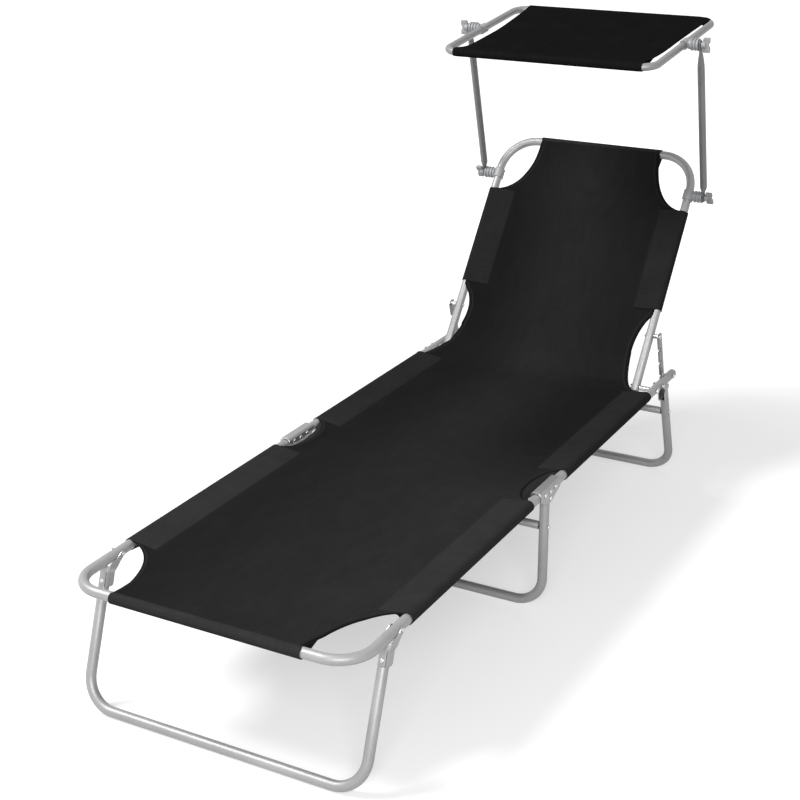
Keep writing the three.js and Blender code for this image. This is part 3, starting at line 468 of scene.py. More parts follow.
def sweep(rings, normal, sides=28):
    """Closed verts and faces of rings (centre, tangent, radius across, radius along the normal)."""
    n = Vector(normal).normalized()
    verts = []
    for centre, tangent, across, along in rings:
        side = tangent.normalized().cross(n).normalized()
        verts += [centre + side * across * c + n * along * s for c, s in circle(sides)]
    return verts, capped(len(rings), sides)


LIP, BORE, NOSE_SHARE, NOSE_TIP = 0.5, 40.0, 0.72, 0.2


def tube_end(tip, away, radius, nose):
    """The rings (centre, radius) of a tube's end: a domed nose, or an open lip with some of its bore."""
    if nose:
        rise = radius * NOSE_SHARE
        return [(tip - away * rise * (1 - math.cos(a)), max(radius * math.sin(a), NOSE_TIP)) for a in QUARTER]
    inner = radius - WALL
    return [
        (tip - away * BORE, inner), (tip - away * LIP, inner), (tip, inner + LIP * 0.8), (tip, radius - LIP),
        (tip - away * LIP * 0.3, radius - LIP * 0.3), (tip - away * LIP, radius),
    ]


def tube_rings(points, radius, noses):
    """The rings of a tube through points, with a nose or an open lip at its first and its last end."""
    count = len(points)
    tangents = []
    for i in range(count):
        t = Vector((0, 0, 0))
        if i:
            t += (points[i] - points[i - 1]).normalized()
        if i < count - 1:
            t += (points[i + 1] - points[i]).normalized()
        tangents.append(t.normalized())
    first = [(p, tangents[0], r, r) for p, r in tube_end(points[0], -tangents[0], radius, noses[0])]
    last = [(p, tangents[-1], r, r) for p, r in tube_end(points[-1], tangents[-1], radius, noses[1])]
    middle = [(points[i], tangents[i], radius, radius) for i in range(1, count - 1)]
    return first + middle + last[::-1]


def pipe(name, corners, bend, normal, radius, body, node, frame=level, noses=(False, False), steps=14,
         mat=STEEL):
    """A tube through corners, bent to one radius in the plane that the normal stands on."""
    points = rounded(corners, bend, steps) if bend else [Vector(c) for c in corners]
    piece(name, sweep(tube_rings(points, radius, noses), normal), mat, body, node, frame)


def lathe(profile, x, y, z, s=1, frame=level, sides=28):
    """Closed verts and faces of a profile (along X, radius) turned about X at (x, y, z)."""
    verts = []
    for along, radius in profile:
        verts += [frame(x + s * along, y + radius * v, z + radius * w) for v, w in circle(sides)]
    return verts, capped(len(profile), sides)


DOME_TIP = 0.1


def dome(radius, height, rim=0.4):
    """The outer half of a rivet head, from its rim to its tip: (height, radius)."""
    rise = height - rim
    return [(0, radius)] + [(rim + rise * math.sin(a), max(radius * math.cos(a), DOME_TIP)) for a in QUARTER]


def rivet(name, ends, y, z, body, node, frame=level, shank=2.5, head=5.0, rise=2.2, collar=()):
    """A rivet or bolt along X between two ends, with domed heads and perhaps a collar on its shank."""
    length = ends[1] - ends[0]
    heads = dome(head, rise)
    profile = [(-h, r) for h, r in heads[::-1]] + [(0, shank), *collar, (length, shank)]
    shape = lathe(profile + [(length + h, r) for h, r in heads], ends[0], y, z, 1, frame)
    piece(name, shape, BRIGHT_AND_HIGHLIGHT, body, node)


def merged(parts):
    verts, faces = [], []
    for v, f in parts:
        base = len(verts)
        verts += list(v)
        faces += [tuple(i + base for i in face) for face in f]
    return verts, faces


def prism(outline, place, depth0, depth1):
    """A closed plate from an outline: place(u, v, d) gives a point at depth d."""
    n = len(outline)
    verts = [place(u, v, depth0) for u, v in outline] + [place(u, v, depth1) for u, v in outline]
    faces = [tuple(reversed(range(n))), tuple(range(n, 2 * n))]
    faces += [(i, (i + 1) % n, n + (i + 1) % n, n + i) for i in range(n)]
    return verts, faces


def curve(a, b, c, steps=6):
    """A quadratic curve from a to c, drawn towards b, without its first point."""
    out = []
    for k in range(1, steps + 1):
        t = k / steps
        out.append(tuple((1 - t) ** 2 * p + 2 * t * (1 - t) * q + t * t * r for p, q, r in zip(a, b, c)))
    return out


SHEET = 2.0


def pressed(name, middle, body, node, bright, edge, frame=level, even=True):
    """A piece of bent sheet from its middle surface, with a bright part that stands on it; its cut rims take
    the bright metal as a painted highlight.
    """
    obj = solid(name, middle, ZINC, frame)
    obj.data.materials.append(BRIGHT_AND_HIGHLIGHT)
    sheet = obj.modifiers.new("sheet", "SOLIDIFY")
    sheet.thickness = SHEET / MM
    sheet.offset = 0
    sheet.use_even_offset = even
    # The rims take the bright metal: a painted highlight.
    sheet.material_offset_rim = 1
    bevel(obj, edge, segments=2, angle=40)
    apply(obj)
    with edited(obj) as work:
        corners = [work.verts.new(to_row(*v)) for v in bright[0]]
        for face in bright[1]:
            made = work.faces.new([corners[i] for i in face])
            made.smooth, made.material_index = True, 1
        bmesh.ops.recalc_face_normals(work, faces=work.faces)
    sharpen(obj)
    carried(obj, body, [node])


# Stand and saddles
foot_pivot, seat_pivot = HINGE_Y - SPREAD, HINGE_Y + SPREAD
pivot_z = HIGH + PIVOT_RISE
STAND_TOP = 7.0
BAR_FREE, BAR_PIN = 0.3, 4.7
RIVET_UPPER, RIVET_LOWER = 1, -13


def leg_u(name, body, node, top, bottom, frame):
    corners = [(-HALF, 0, top), (-HALF, 0, bottom), (HALF, 0, bottom), (HALF, 0, top)]
    pipe(name, corners, LEG_ROUND, (0, 1, 0), TUBE, body, node, frame)


def crossbar(name, body, node, z, frame):
    reach = HALF - TUBE - BAR_FREE
    pipe(name, [(-reach, 0, z), (reach, 0, z)], 0, (0, 1, 0), BAR, body, node, frame)


def pin_ends(s, inner, outer):
    """The ends of a pin on one side of the lounger, in the order of X."""
    return sorted((s * inner, s * outer))


stand_frame = turned(HINGE_Y, HIGH, 0)
leg_u("stand_leg_tube", "stand", "stand_leg", STAND_TOP, TUBE - HIGH, stand_frame)
crossbar("stand_bar", "stand", "stand_crossbar", STAND_BAR_Z - HIGH, stand_frame)

SADDLE_IN, SADDLE_GAP, SADDLE_ROUND = 9.9, 0.6, 5.0
SADDLE_ROWS = [-42, -41.6, -41, -40, -38, -35, *range(-32, 41, 4), 42, 44, 46, 47.5, 48.6, 49.4, 50]
# The lower edge of a saddle's ears: (along the tube, above the tube's middle line)
SADDLE_EDGE = ([(-42, -2)] + curve((-42, -2), (-41, -12), (-20, -18)) + curve((-20, -18), (0, -28), (20, -14))
               + [(41, -6)] + curve((41, -6), (49, -3), (50, 4)))
EAR_STEPS, TOP_STEPS = 6, 5
HIGHLIGHT_LIP_FROM, HIGHLIGHT_LIP_TO, HIGHLIGHT_LIP_RISE, HIGHLIGHT_LIP_OVER, HIGHLIGHT_LIP_UNDER = -42.6, -36.5, 0.3, 0.5, 0.2
HIGHLIGHT_LIP_TURNS = [math.radians(14 + 152 * k / 20) for k in range(21)]


def saddle(side, s):
    """Bent sheet over the tubes' ends, with a bright lip at its foot end that is a painted highlight."""
    ear, top = SADDLE_IN + SHEET / 2, TUBE + SADDLE_GAP + SHEET / 2
    straight, flat_half, turn = top - SADDLE_ROUND, ear - SADDLE_ROUND, SADDLE_ROUND
    grid = []
    for y in SADDLE_ROWS:
        edge = read(SADDLE_EDGE, y)
        half = [(ear, edge + (straight - edge) * k / EAR_STEPS) for k in range(EAR_STEPS)]
        half += [(ear - turn * (1 - math.cos(a)), top - turn * (1 - math.sin(a))) for a in QUARTER]
        half += [(flat_half - flat_half * k / TOP_STEPS, top) for k in range(1, TOP_STEPS)]
        full = mirrored(half, (0, top))
        grid += [(s * HALF + x, HINGE_Y + y, HIGH + z) for x, z in full]
    # The bright lip over the foot end is a painted highlight.
    ring = ring_band(SADDLE_IN + SHEET + HIGHLIGHT_LIP_OVER, SADDLE_IN + HIGHLIGHT_LIP_UNDER, HIGHLIGHT_LIP_TURNS, HIGHLIGHT_LIP_RISE)
    cut = prism(ring, lambda u, v, d: (s * HALF + u, HINGE_Y + d, HIGH + v), HIGHLIGHT_LIP_FROM, HIGHLIGHT_LIP_TO)
    sheet = (grid, strip(len(SADDLE_ROWS), len(full)))
    pressed(f"saddle_{side}", sheet, "stand", f"saddle_bracket_{side}", cut, 0.5)


hinge_out = SADDLE_IN + SHEET + HEAD_GAP
for side, s in SIDES:
    saddle(side, s)
    ends = (s * HALF - hinge_out, s * HALF + hinge_out)
    for node, y, z in (("foot_hinge_rivet", foot_pivot, pivot_z), ("seat_hinge_rivet", seat_pivot, pivot_z),
                       ("stand_rivet_upper", HINGE_Y, HIGH + RIVET_UPPER),
                       ("stand_rivet_lower", HINGE_Y, HIGH + RIVET_LOWER)):
        rivet(f"{node}_head_{side}", ends, y, z, "stand", f"{node}_{side}")
    bar_pin = pin_ends(s, HALF - TUBE - BAR_PIN, HALF + TUBE + HEAD_GAP)
    rivet(f"stand_bar_rivet_{side}", bar_pin, HINGE_Y, STAND_BAR_Z, "stand", f"stand_crossbar_rivet_{side}")

# Foot section and both legs
NOSE_PAST = 7.0
foot_end = foot_pivot + NOSE_PAST
pipe("foot_tube_bent", [(-HALF, foot_end, HIGH), (-HALF, 0, HIGH), (HALF, 0, HIGH), (HALF, foot_end, HIGH)],
     FOOT_ROUND, (0, 0, 1), TUBE, "foot_section", "foot_tube", noses=(True, True))

leg_reach = HIGH / math.cos(LEAN) - TUBE * (1 / math.cos(LEAN) - 1)
rear_bar = (REAR_BAR_Z - HIGH) / math.cos(LEAN)
leg_u("foot_leg_bent", "foot_leg", "foot_leg_tube", LEG_TOP, TUBE - leg_reach, foot_leg)
leg_u("rear_leg_bent", "rear_leg", "rear_leg_tube", LEG_TOP, TUBE - leg_reach, rear_leg)
crossbar("rear_bar", "rear_leg", "rear_crossbar", rear_bar, rear_leg)

# A leg bracket, by the height above the frame tube: its two edges along the frame tube
PLUG_END = -61.0
EAR_FAR = ((PLUG_END, 4.5), (LEG_TOP, 4.5), (LEG_TOP + 0.6, 13), (-44, 15.3), (-38, 15.6), (-30, 15.0),
           (-20, 14.4), (-14, 15.6), (-9.5, 18.4), (-5, 20.8), (-1.7, 23), (2, 26.2), (6.5, 29.8), (10, 32),
           (12.5, 32.6), (14.2, 31.6), (15, 29.5))
EAR_NEAR = ((PLUG_END, -3.6), (-13.4, -3.6), (-9, -3.2), (-6, -0.8), (-3, 3.2), (1.5, 10.2), (5, 14.4),
            (8, 17.2), (12, 20.6), (14.4, 23.6), (15, 25.5))
BRACKET_ROW, BRACKET_COUNT = 1.25, 61
BRACKET_ROWS = sorted([*(PLUG_END + BRACKET_ROW * k for k in range(BRACKET_COUNT)),
                       LEG_TOP + 0.2, LEG_TOP + 0.7, -13.4, 14.4, 14.8])
LEAST_RISE = 0.3
NECK_HALF, EAR_HALF, NECK_WALL, NECK_FLAT = 7.6, 11.0, -7.0, 4.2
SPREAD_FROM, SPREAD_TO = -25.0, -12.0
WALL_TOP, WALL_GAP = -8.0, 1.2
PLUG_SHARE = 0.8
EAR_COLUMNS = 8
CREASE, CREASE_COLUMNS = 1.8, (3, 4)
BOSS_R, BOSS_RISE, BOSS_SUNK, BOSS_Z = 3.4, 1.7, 0.4, 38.0


def wall_top(x, v):
    """How high the bracket's wall reaches below the round frame tube."""
    room = math.sqrt(max(0.0, (TUBE + WALL_GAP) ** 2 - x * x))
    return min(WALL_TOP, (v * math.sin(LEAN) - room) / math.cos(LEAN))


def bracket_section(z):
    """The bracket's middle surface at a height: points (across, along the frame tube)."""
    far, near = read(EAR_FAR, z), read(EAR_NEAR, z)
    part = held((z - SPREAD_FROM) / (SPREAD_TO - SPREAD_FROM))
    ear = NECK_HALF + (EAR_HALF - NECK_HALF) * eased(part)
    half = [(ear, far + (near - far) * k / (EAR_COLUMNS - 1)) for k in range(EAR_COLUMNS)]
    for k in range(1, 7):
        c, s = math.cos(QUARTER[k]), math.sin(QUARTER[k])
        deep = CREASE * (k in CREASE_COLUMNS) * (1 - part)
        half.append((NECK_FLAT + (ear - NECK_FLAT) * c - deep * c,
                     NECK_WALL + (near - NECK_WALL) * (1 - s) + deep * s))
    half += [(NECK_FLAT * (1 - k / 4), NECK_WALL) for k in range(1, 4)]
    return mirrored(half, (0, NECK_WALL))


def leg_bracket(name, s, way, frame, body, node):
    """A channel that stands in the leg; its two ears spread round the frame tube up to the pivot rivet."""
    grid = []
    for z in BRACKET_ROWS:
        section = bracket_section(z)
        size = PLUG_SHARE if z < LEG_TOP else 1.0
        for k, (x, v) in enumerate(section):
            in_ear = min(k, len(section) - 1 - k) < EAR_COLUMNS
            top = z if in_ear else min(z, wall_top(x, v))
            grid.append((s * HALF + size * x, way * size * v, top))
    faces = [face for face in strip(len(BRACKET_ROWS), len(section))
             if min(grid[face[3]][2] - grid[face[0]][2], grid[face[2]][2] - grid[face[1]][2]) > LEAST_RISE]
    used = sorted({v for face in faces for v in face})
    where = {v: i for i, v in enumerate(used)}
    boss = lathe([(-BOSS_SUNK, BOSS_R)] + dome(BOSS_R, BOSS_RISE), 0, 0, 0, 1,
                 lambda a, b, c: frame(s * HALF + b, way * (NECK_WALL - SHEET / 2 - a), c - BOSS_Z), 20)
    faces = [tuple(where[v] for v in face) for face in faces]
    pressed(name, ([grid[v] for v in used], faces), body, node, boss, 0.45, frame, even=False)


ear_out = EAR_HALF + SHEET / 2 + HEAD_GAP
for side, s in SIDES:
    leg_bracket(f"foot_leg_ears_{side}", s, 1, foot_leg, "foot_leg", f"foot_leg_bracket_{side}")
    leg_bracket(f"rear_leg_ears_{side}", s, -1, rear_leg, "rear_leg", f"rear_leg_bracket_{side}")
    ends = (s * HALF - ear_out, s * HALF + ear_out)
    for node, y, body in (("foot_leg", FOOT_LEG_Y + LEG_PIVOT, "foot_section"),
                          ("rear_leg", REAR_LEG_Y - LEG_PIVOT, "seat_section")):
        rivet(f"{node}_rivet_{side}", ends, y, HIGH, body, f"{node}_pivot_rivet_{side}", head=4.0, rise=1.2)
    bar_pin = pin_ends(s, HALF - TUBE - BAR_PIN, HALF + TUBE + HEAD_GAP)
    rivet(f"rear_bar_rivet_{side}", bar_pin, 0, rear_bar, "rear_leg", f"rear_crossbar_rivet_{side}", rear_leg)

# Seat section
seat_end = SEAT_END - TUBE / 2
strut_in = BACK_HALF + TUBE + STRUT_OFF
STRUT_THICK = 3
RIVET_RISE = 2.2
CAP_PLUG, CAP_GAP, CAP_EDGE, CAP_RIM, CAP_RISE = 7.0, 0.3, 0.1, 2.2, 3.0
BOLT_R, SPACER_R, SPACER_EDGE, SPACER_IN = 3.5, 6, 0.4, 19.6


def end_cap(side, x):
    """A plug with a rounded head, drawn along X and turned to look towards the head end."""
    rim = TUBE - CAP_EDGE
    profile = [(-CAP_PLUG, CAP_PLUG), (CAP_GAP, CAP_PLUG), (CAP_GAP, TUBE - CAP_GAP), (2 * CAP_GAP, TUBE)]
    profile += [(CAP_RIM + CAP_RISE * math.sin(a), max(rim * math.cos(a), DOME_TIP)) for a in QUARTER]
    piece(f"seat_cap_{side}", lathe(profile, 0, 0, 0), CAP, "seat_section", f"seat_end_cap_{side}",
          lambda u, v, w: (x + v, seat_end + u, HIGH + w))


for side, s in SIDES:
    pipe(f"seat_tube_round_{side}", [(s * HALF, seat_pivot - NOSE_PAST, HIGH), (s * HALF, seat_end, HIGH)], 0,
         (0, 0, 1), TUBE, "seat_section", f"seat_tube_{side}", noses=(True, False))
    end_cap(side, s * HALF)
    bolt = pin_ends(s, BACK_HALF - TUBE - HEAD_GAP, HALF + TUBE + HEAD_GAP)
    spacer = [(SPACER_IN, BOLT_R), (SPACER_IN, SPACER_R - SPACER_EDGE), (SPACER_IN + SPACER_EDGE, SPACER_R)]
    spacer += [(bolt[1] - bolt[0] - along, radius) for along, radius in spacer[::-1]]
    rivet(f"back_bolt_{side}", bolt, BACK_Y, HIGH, "seat_section", f"back_pivot_bolt_{side}", shank=BOLT_R,
          head=7.0, rise=3.5, collar=spacer)
    pin = pin_ends(s, strut_in + STRUT_THICK + HEAD_GAP + RIVET_RISE, HALF + TUBE + HEAD_GAP)
    rivet(f"strut_pin_round_{side}", pin, STRUT_PIN_Y, HIGH, "seat_section", f"strut_pin_{side}", shank=3.0)

# Backrest and struts
pipe("back_tube_bent", [(-BACK_HALF, -BACK_TAIL, 0), (-BACK_HALF, BACK_LONG, 0), (BACK_HALF, BACK_LONG, 0),
                        (BACK_HALF, -BACK_TAIL, 0)],
     BACK_ROUND, (0, 0, 1), TUBE, "backrest", "back_tube", back, steps=18)

strut_y, strut_z = STRUT_AT * math.cos(BACK_A), STRUT_AT * math.sin(BACK_A)
strut_long = math.hypot(STRUT_PIN_Y - BACK_Y - strut_y, strut_z)
strut_turn = math.atan2(STRUT_PIN_Y - BACK_Y - strut_y, strut_z)
strut_frame = turned(BACK_Y + strut_y, HIGH + strut_z, strut_turn)
STRUT_HALF, STRUT_BACK, STRUT_HEAD, STRUT_TAIL = 10.0, 3.0, 6.5, 22.0
NOTCH, NOTCHES, NOTCH_STEP = 3.4, 3, 35.0
NOTCH_PLAY, LIP_IN, LIP_ALONG = 0.3, 0.5, 1.2
ROUND_STEPS, NOTCH_STEPS = 6, 8
STRUT_RIVET, STRUT_COLLAR, COLLAR_OUT = 2.5, 5, 3.6


def strut_outline():
    """Drawn hanging down, with round ends and notches that open towards the foot end."""
    out = []
    turns = [math.pi * k / (2 * ROUND_STEPS) for k in range(2 * ROUND_STEPS + 1)]
    for k, a in enumerate(turns):
        out.append((STRUT_HALF * math.cos(a) + STRUT_BACK * (k < ROUND_STEPS), STRUT_HEAD * math.sin(a)))
    mouth = NOTCH - NOTCH_PLAY
    for i in range(NOTCHES):
        z = -strut_long + (NOTCHES - 1 - i) * NOTCH_STEP
        out.append((-STRUT_HALF, z + mouth + LIP_ALONG))
        out.append((-STRUT_HALF + LIP_IN, z + mouth + NOTCH_PLAY))
        for k in range(NOTCH_STEPS + 1):
            a = math.pi * (0.5 - k / NOTCH_STEPS)
            out.append((NOTCH * math.cos(a), z + mouth * math.sin(a)))
        out.append((-STRUT_HALF + LIP_IN, z - mouth - NOTCH_PLAY))
        out.append((-STRUT_HALF, z - mouth - LIP_ALONG))
    for k, a in enumerate(turns):
        out.append((-STRUT_HALF * math.cos(a) + STRUT_BACK * (k > ROUND_STEPS),
                    -strut_long - STRUT_TAIL - STRUT_HALF * math.sin(a)))
    return out[::-1]


for side, s in SIDES:
    bar = prism(strut_outline(), lambda u, v, d: (s * strut_in + s * d, u, v), 0, STRUT_THICK)
    strut = f"strut_{side}"
    piece(f"strut_bar_{side}", bar, DULL, strut, strut, strut_frame, smooth_edge=0.4)
    ends = pin_ends(s, BACK_HALF - TUBE - HEAD_GAP, strut_in + STRUT_THICK + HEAD_GAP)
    length = ends[1] - ends[0]
    first, last = length - COLLAR_OUT - STRUT_OFF + 2 * HEAD_GAP, length - COLLAR_OUT
    if s < 0:
        first, last = length - last, length - first
    rivet(f"strut_rivet_round_{side}", ends, STRUT_AT, 0, "backrest", f"strut_rivet_{side}", back,
          collar=[(first, STRUT_RIVET), (first, STRUT_COLLAR), (last, STRUT_COLLAR), (last, STRUT_RIVET)])

# The sling: l is a length along its middle line from the foot tube, d a distance from its side edge
LIFT = TUBE + 0.9
BEND_R = 110.0
corner_y = BACK_Y - LIFT * math.tan(BACK_A / 2)
tangent = BEND_R * math.tan(BACK_A / 2)
ARC_FROM = corner_y - tangent
ARC_TO = ARC_FROM + BEND_R * BACK_A
S_SHIFT = LIFT * math.tan(BACK_A / 2) + tangent - ARC_TO
TOP_L = BACK_LONG - S_SHIFT
FOOT_CUT, FOOT_CUT_L = 93.0, 168.0
TOP_CUT, TOP_CUT_L = 88.0, 135.0
HINGE_CUT_L, HINGE_CUT_LONG, HINGE_CUT_DEEP, HINGE_CUT_LINE = 724.0, 80.0, 41.0, 285.0
HINGE_CUT_ENDS = (HINGE_CUT_L - HINGE_CUT_LONG + 0.5, HINGE_CUT_L + HINGE_CUT_LONG - 0.5)
BEND_CUT_L, BEND_CUT_LONG, BEND_CUT_DEEP, BEND_CUT_LINE = 1372.7, 105.7, 60.0, 268.0
LEFT_CUT_L, LEFT_CUT_DEEP, LEFT_CUT_POWER = 1408.0, 56.0, 1.2
LEFT_LINE_OUT, LEFT_LINE_TO = 5, 1340
FOOT_WRAP = (FOOT_CUT_L, 645.0)
SEAT_WRAP = (803.0, 1267.0)
BACK_WRAP = (BEND_CUT_L + BEND_CUT_LONG, TOP_L - TOP_CUT_L)
WRAPS = (FOOT_WRAP, SEAT_WRAP, BACK_WRAP)
LOW_CUTS = 1000
SEAT_FROM, SEAT_TO = 640, 940
BACK_FROM, BACK_TO = 1300, 1450
DROP = 7.5
SAG = 3.5
WRAP_END = math.radians(200)
WRAP_STEPS, RETURN_PLIES = 16, 8
SEAM, HEM, SLEEVE = 55.0, 11, 50
SEAM_WIDE = 2.2
PLY = 0.5
# The lower ply's end, its fall, and the painted light on it.
PLY_END, PLY_FALL, PLY_PAINTED_LIGHT = 264.5, 11.0, 0.9
UNDER = 1.6


def cloth_path(l):
    """The middle line of the sling at a length l: (y, z) and its normal (ny, nz)."""
    if l <= ARC_FROM:
        return l, HIGH + LIFT, 0.0, 1.0
    if l <= ARC_TO:
        a = (l - ARC_FROM) / BEND_R
        y = ARC_FROM + BEND_R * math.sin(a)
        z = HIGH + LIFT + BEND_R * (1 - math.cos(a))
        return y, z, -math.sin(a), math.cos(a)
    _, y, z = back(0, l + S_SHIFT, LIFT)
    return y, z, -math.sin(BACK_A), math.cos(BACK_A)


def on_cloth(x, l, n, past=0.0):
    """A point n above the sling at l, or past it on the straight line that leaves the sling there."""
    y, z, ny, nz = cloth_path(l)
    return (x, y + past * nz + n * ny, z - past * ny + n * nz)


def tube_half(l):
    return HALF if l < BEND_CUT_L else BACK_HALF


def ellipse(share):
    return math.sqrt(max(0.0, 1 - share ** 2))


def half_width(l, s):
    """Half width of the flat cloth on one side of its middle line, between its cut-outs."""
    if l < FOOT_CUT_L:
        return HALF - FOOT_CUT * ellipse(held(l / FOOT_CUT_L))
    if HINGE_CUT_ENDS[0] < l < HINGE_CUT_ENDS[1]:
        return min(HALF, HINGE_CUT_LINE - HINGE_CUT_DEEP * ellipse((l - HINGE_CUT_L) / HINGE_CUT_LONG))
    if SEAT_WRAP[1] < l < BACK_WRAP[0]:
        return bend_half(l, s < 0)
    if l > BACK_WRAP[1]:
        return BACK_HALF - TOP_CUT * ellipse(held((TOP_L - l) / TOP_CUT_L))
    return tube_half(l)


def bend_half(l, on_left):
    """Half width beside the back pivot, where the left cut-out is flatter than the right one."""
    deep, line = BEND_CUT_DEEP * ellipse((l - BEND_CUT_L) / BEND_CUT_LONG), BEND_CUT_LINE
    if on_left and l < LEFT_CUT_L:
        turn = math.pi / 2 * (LEFT_CUT_L - l) / (LEFT_CUT_L - SEAT_WRAP[1])
        deep = LEFT_CUT_DEEP * math.cos(turn) ** LEFT_CUT_POWER
        line += LEFT_LINE_OUT * max(0.0, (LEFT_LINE_TO - l) / (LEFT_LINE_TO - SEAT_WRAP[1]))
    elif on_left:
        deep = LEFT_CUT_DEEP * ellipse((l - LEFT_CUT_L) / (BACK_WRAP[0] - LEFT_CUT_L))
    return line - deep if l < LEFT_CUT_L else min(line - deep, BACK_HALF)


# The cloth's own waves (height, turns over l and over x) and the folds that pull at the cut-outs' ends
WAVES = ((0.35, 71, 97, 0.0), (0.18, 37, -53, 1.3))
PULLS = (*FOOT_WRAP, *SEAT_WRAP, *BACK_WRAP)
PULL, PULL_FADE, PULL_TURN, PULL_FREE, PULL_IN = 0.9, 38, 7.5, 8, 14
FOOT_SLACK_L, TOP_SLACK_L = 160, 200
TUBE_TOP, TINY = 1.5, 1e-6


def sag(x, l):
    """How far the cloth lies below the tops of the tubes: the slope of the sleeves and its own sag."""
    half = half_width(l, x)
    across = max(0.0, 1 - (x / half) ** 2)
    along = min(1.0, l / FOOT_SLACK_L) * min(1.0, (TOP_L - l) / TOP_SLACK_L)
    ends = min(l, TOP_L - l, SEAM) / SEAM
    side = min(max(tube_half(l) - abs(x) - TUBE_TOP, 0.0), SEAM) / SEAM
    slope = ends * side / (ends + side - ends * side + TINY)
    wave = sum(size * math.sin(l / along_l + x / along_x + start) for size, along_l, along_x, start in WAVES)
    pull = 0.0
    for place in PULLS:
        far = math.hypot(l - place, half - abs(x))
        pull += PULL * math.exp(-far / PULL_FADE) * math.sin(far / PULL_TURN)
    return DROP * slope + across * along * (SAG + wave) + pull * held((half - abs(x) - PULL_FREE) / PULL_IN)


# Places across the cloth as distances from its edge: dense beside the edge and the seam
EDGE = [0, 0.8, 2.5, 6, 10.5, 12.5, 16, 24, 36, 50, 53.5, 56.5, 64, 80, 104]
MIDDLE = 7


def columns(l):
    """Places across the cloth, from the left edge to the right one."""
    sides = []
    for s in (-1, 1):
        half = half_width(l, s)
        rest = half - EDGE[-1]
        middle = [s * rest * (1 - k / MIDDLE) for k in range(1, MIDDLE + 1)]
        sides.append([s * (half - d) for d in EDGE] + middle)
    return sides[0][:-1] + sides[1][::-1]


TURN_DOWN, TURN_WIDE, HEM_RISE, HEM_FALL = 3.2, 9, 0.7, 2.5
GROOVE = 0.7
STITCH, STITCH_LONG, STITCH_FADE = 0.22, 1.9, 7


def hem(d, free):
    """Height of the turned hem and the sewn sleeve, by the distance from the edge."""
    if free:
        down = TURN_DOWN * (1 - d / TURN_WIDE) ** 2 if d < TURN_WIDE else 0.0
        return HEM_RISE * (1 - held((d - HEM) / HEM_FALL)) - down
    if d < SLEEVE:
        return PLY
    return (PLY if d < SEAM else 0.0) - GROOVE * math.exp(-((d - SEAM) / SEAM_WIDE) ** 2)


def pucker(l, d):
    return STITCH * math.sin(l / STITCH_LONG) * math.exp(-((d - SEAM) / STITCH_FADE) ** 2)


# Widths and tones at free edges: a painted shadow line where the side sleeves end and a painted highlight on
# the cut-outs' very edge.
SLEEVE_END_SHADOW, LOW_HEM, HIGH_HEM, CUT_HIGHLIGHT_WIDE = 3.2, 4.5, 9.0, 0.7
CUT_HIGHLIGHT_TONE, STITCH_TONE, STITCH_WIDE = 0.6, 0.35, 2.5


def rim(d, l, x):
    """Tone of the cloth beside a free edge: a dark turned hem with a paler line of stitches, a painted
    highlight on the very edge of the low cut-outs, and a painted shadow line where the side sleeves end.
    """
    for end in (SEAT_WRAP[1], *BACK_WRAP):
        if abs(l - end) < SLEEVE_END_SHADOW and tube_half(l) - abs(x) < SEAM - 2:
            return -1.0
    if d < CUT_HIGHLIGHT_WIDE and l < LOW_CUTS:
        return CUT_HIGHLIGHT_TONE
    width = HIGH_HEM if l > LOW_CUTS else LOW_HEM
    return -1.0 if d < width else STITCH_TONE if d < width + STITCH_WIDE else 0.0


# Painted light and shading on the plain cloth, (left, right) beside the foot, the seat and the back, and more
# painted shading over the back.
SIDE_WIDE = 190
FOOT_TONES, SEAT_TONES, BACK_TONES = (-0.5, 0.35), (-0.8, -0.8), (-0.8, -0.5)
BACK_PAINTED_SHADE, TOP_FADE_L, TOP_FADE = 0.18, 1760, 100
SEAT_LESS_PLY_LIGHT, BACK_LESS_PLY_LIGHT = 0.75, 0.25


def back_part(l):
    return held((l - BACK_FROM) / (BACK_TO - BACK_FROM))


def seat_part(l):
    return held((l - SEAT_FROM) / (SEAT_TO - SEAT_FROM))


def painted_light_and_shade(x, l):
    """Painted light and shading on the plain cloth: darker beside the sleeves and palest along its middle,
    beside the foot section darker on the left and paler on the right.
    """
    side = eased(abs(x) / SIDE_WIDE)
    foot = FOOT_TONES[x >= 0] * side
    rest = (SEAT_TONES if l < BACK_FROM else BACK_TONES)[x >= 0] * side
    dark = BACK_PAINTED_SHADE * back_part(l) * held((TOP_FADE_L - l) / TOP_FADE)
    return max(-1.0, foot + (rest - foot) * seat_part(l) - dark)


def double_ply_and_light(l):
    """Tone of the sleeves' two plies, paler than the plain cloth, with painted light: paler beside the foot
    section than beside the rest.
    """
    return 1.0 - SEAT_LESS_PLY_LIGHT * seat_part(l) - BACK_LESS_PLY_LIGHT * back_part(l)


ROW, ROW_LEAST, ROW_FREE = 6.0, 0.35, 0.3
ROWS_BESIDE, ROWS_AT_END = (-3, -0.6, 0, 0.6, 3), (0.5, 1.5, 3, 5)
HINGE_ROWS = np.linspace(HINGE_CUT_L - 78, HINGE_CUT_L + 78, 53)


def sling_rows(start, stop):
    """Lengths from start to stop: even, and dense at the ends of the sleeves and in the hinge cut-outs."""
    marks = [edge + step for edge in (*PULLS, *HINGE_CUT_ENDS) for step in ROWS_BESIDE]
    marks += [end for step in ROWS_AT_END for end in (step, TOP_L - step)]
    marks += [*np.arange(start, stop, ROW), *HINGE_ROWS]
    rows = [start]
    for l in sorted(marks):
        if start + ROW_FREE < l < stop - ROW_FREE and l - rows[-1] > ROW_LEAST:
            rows.append(float(l))
    return rows + [stop]


CLOTH_THICK = 0.9


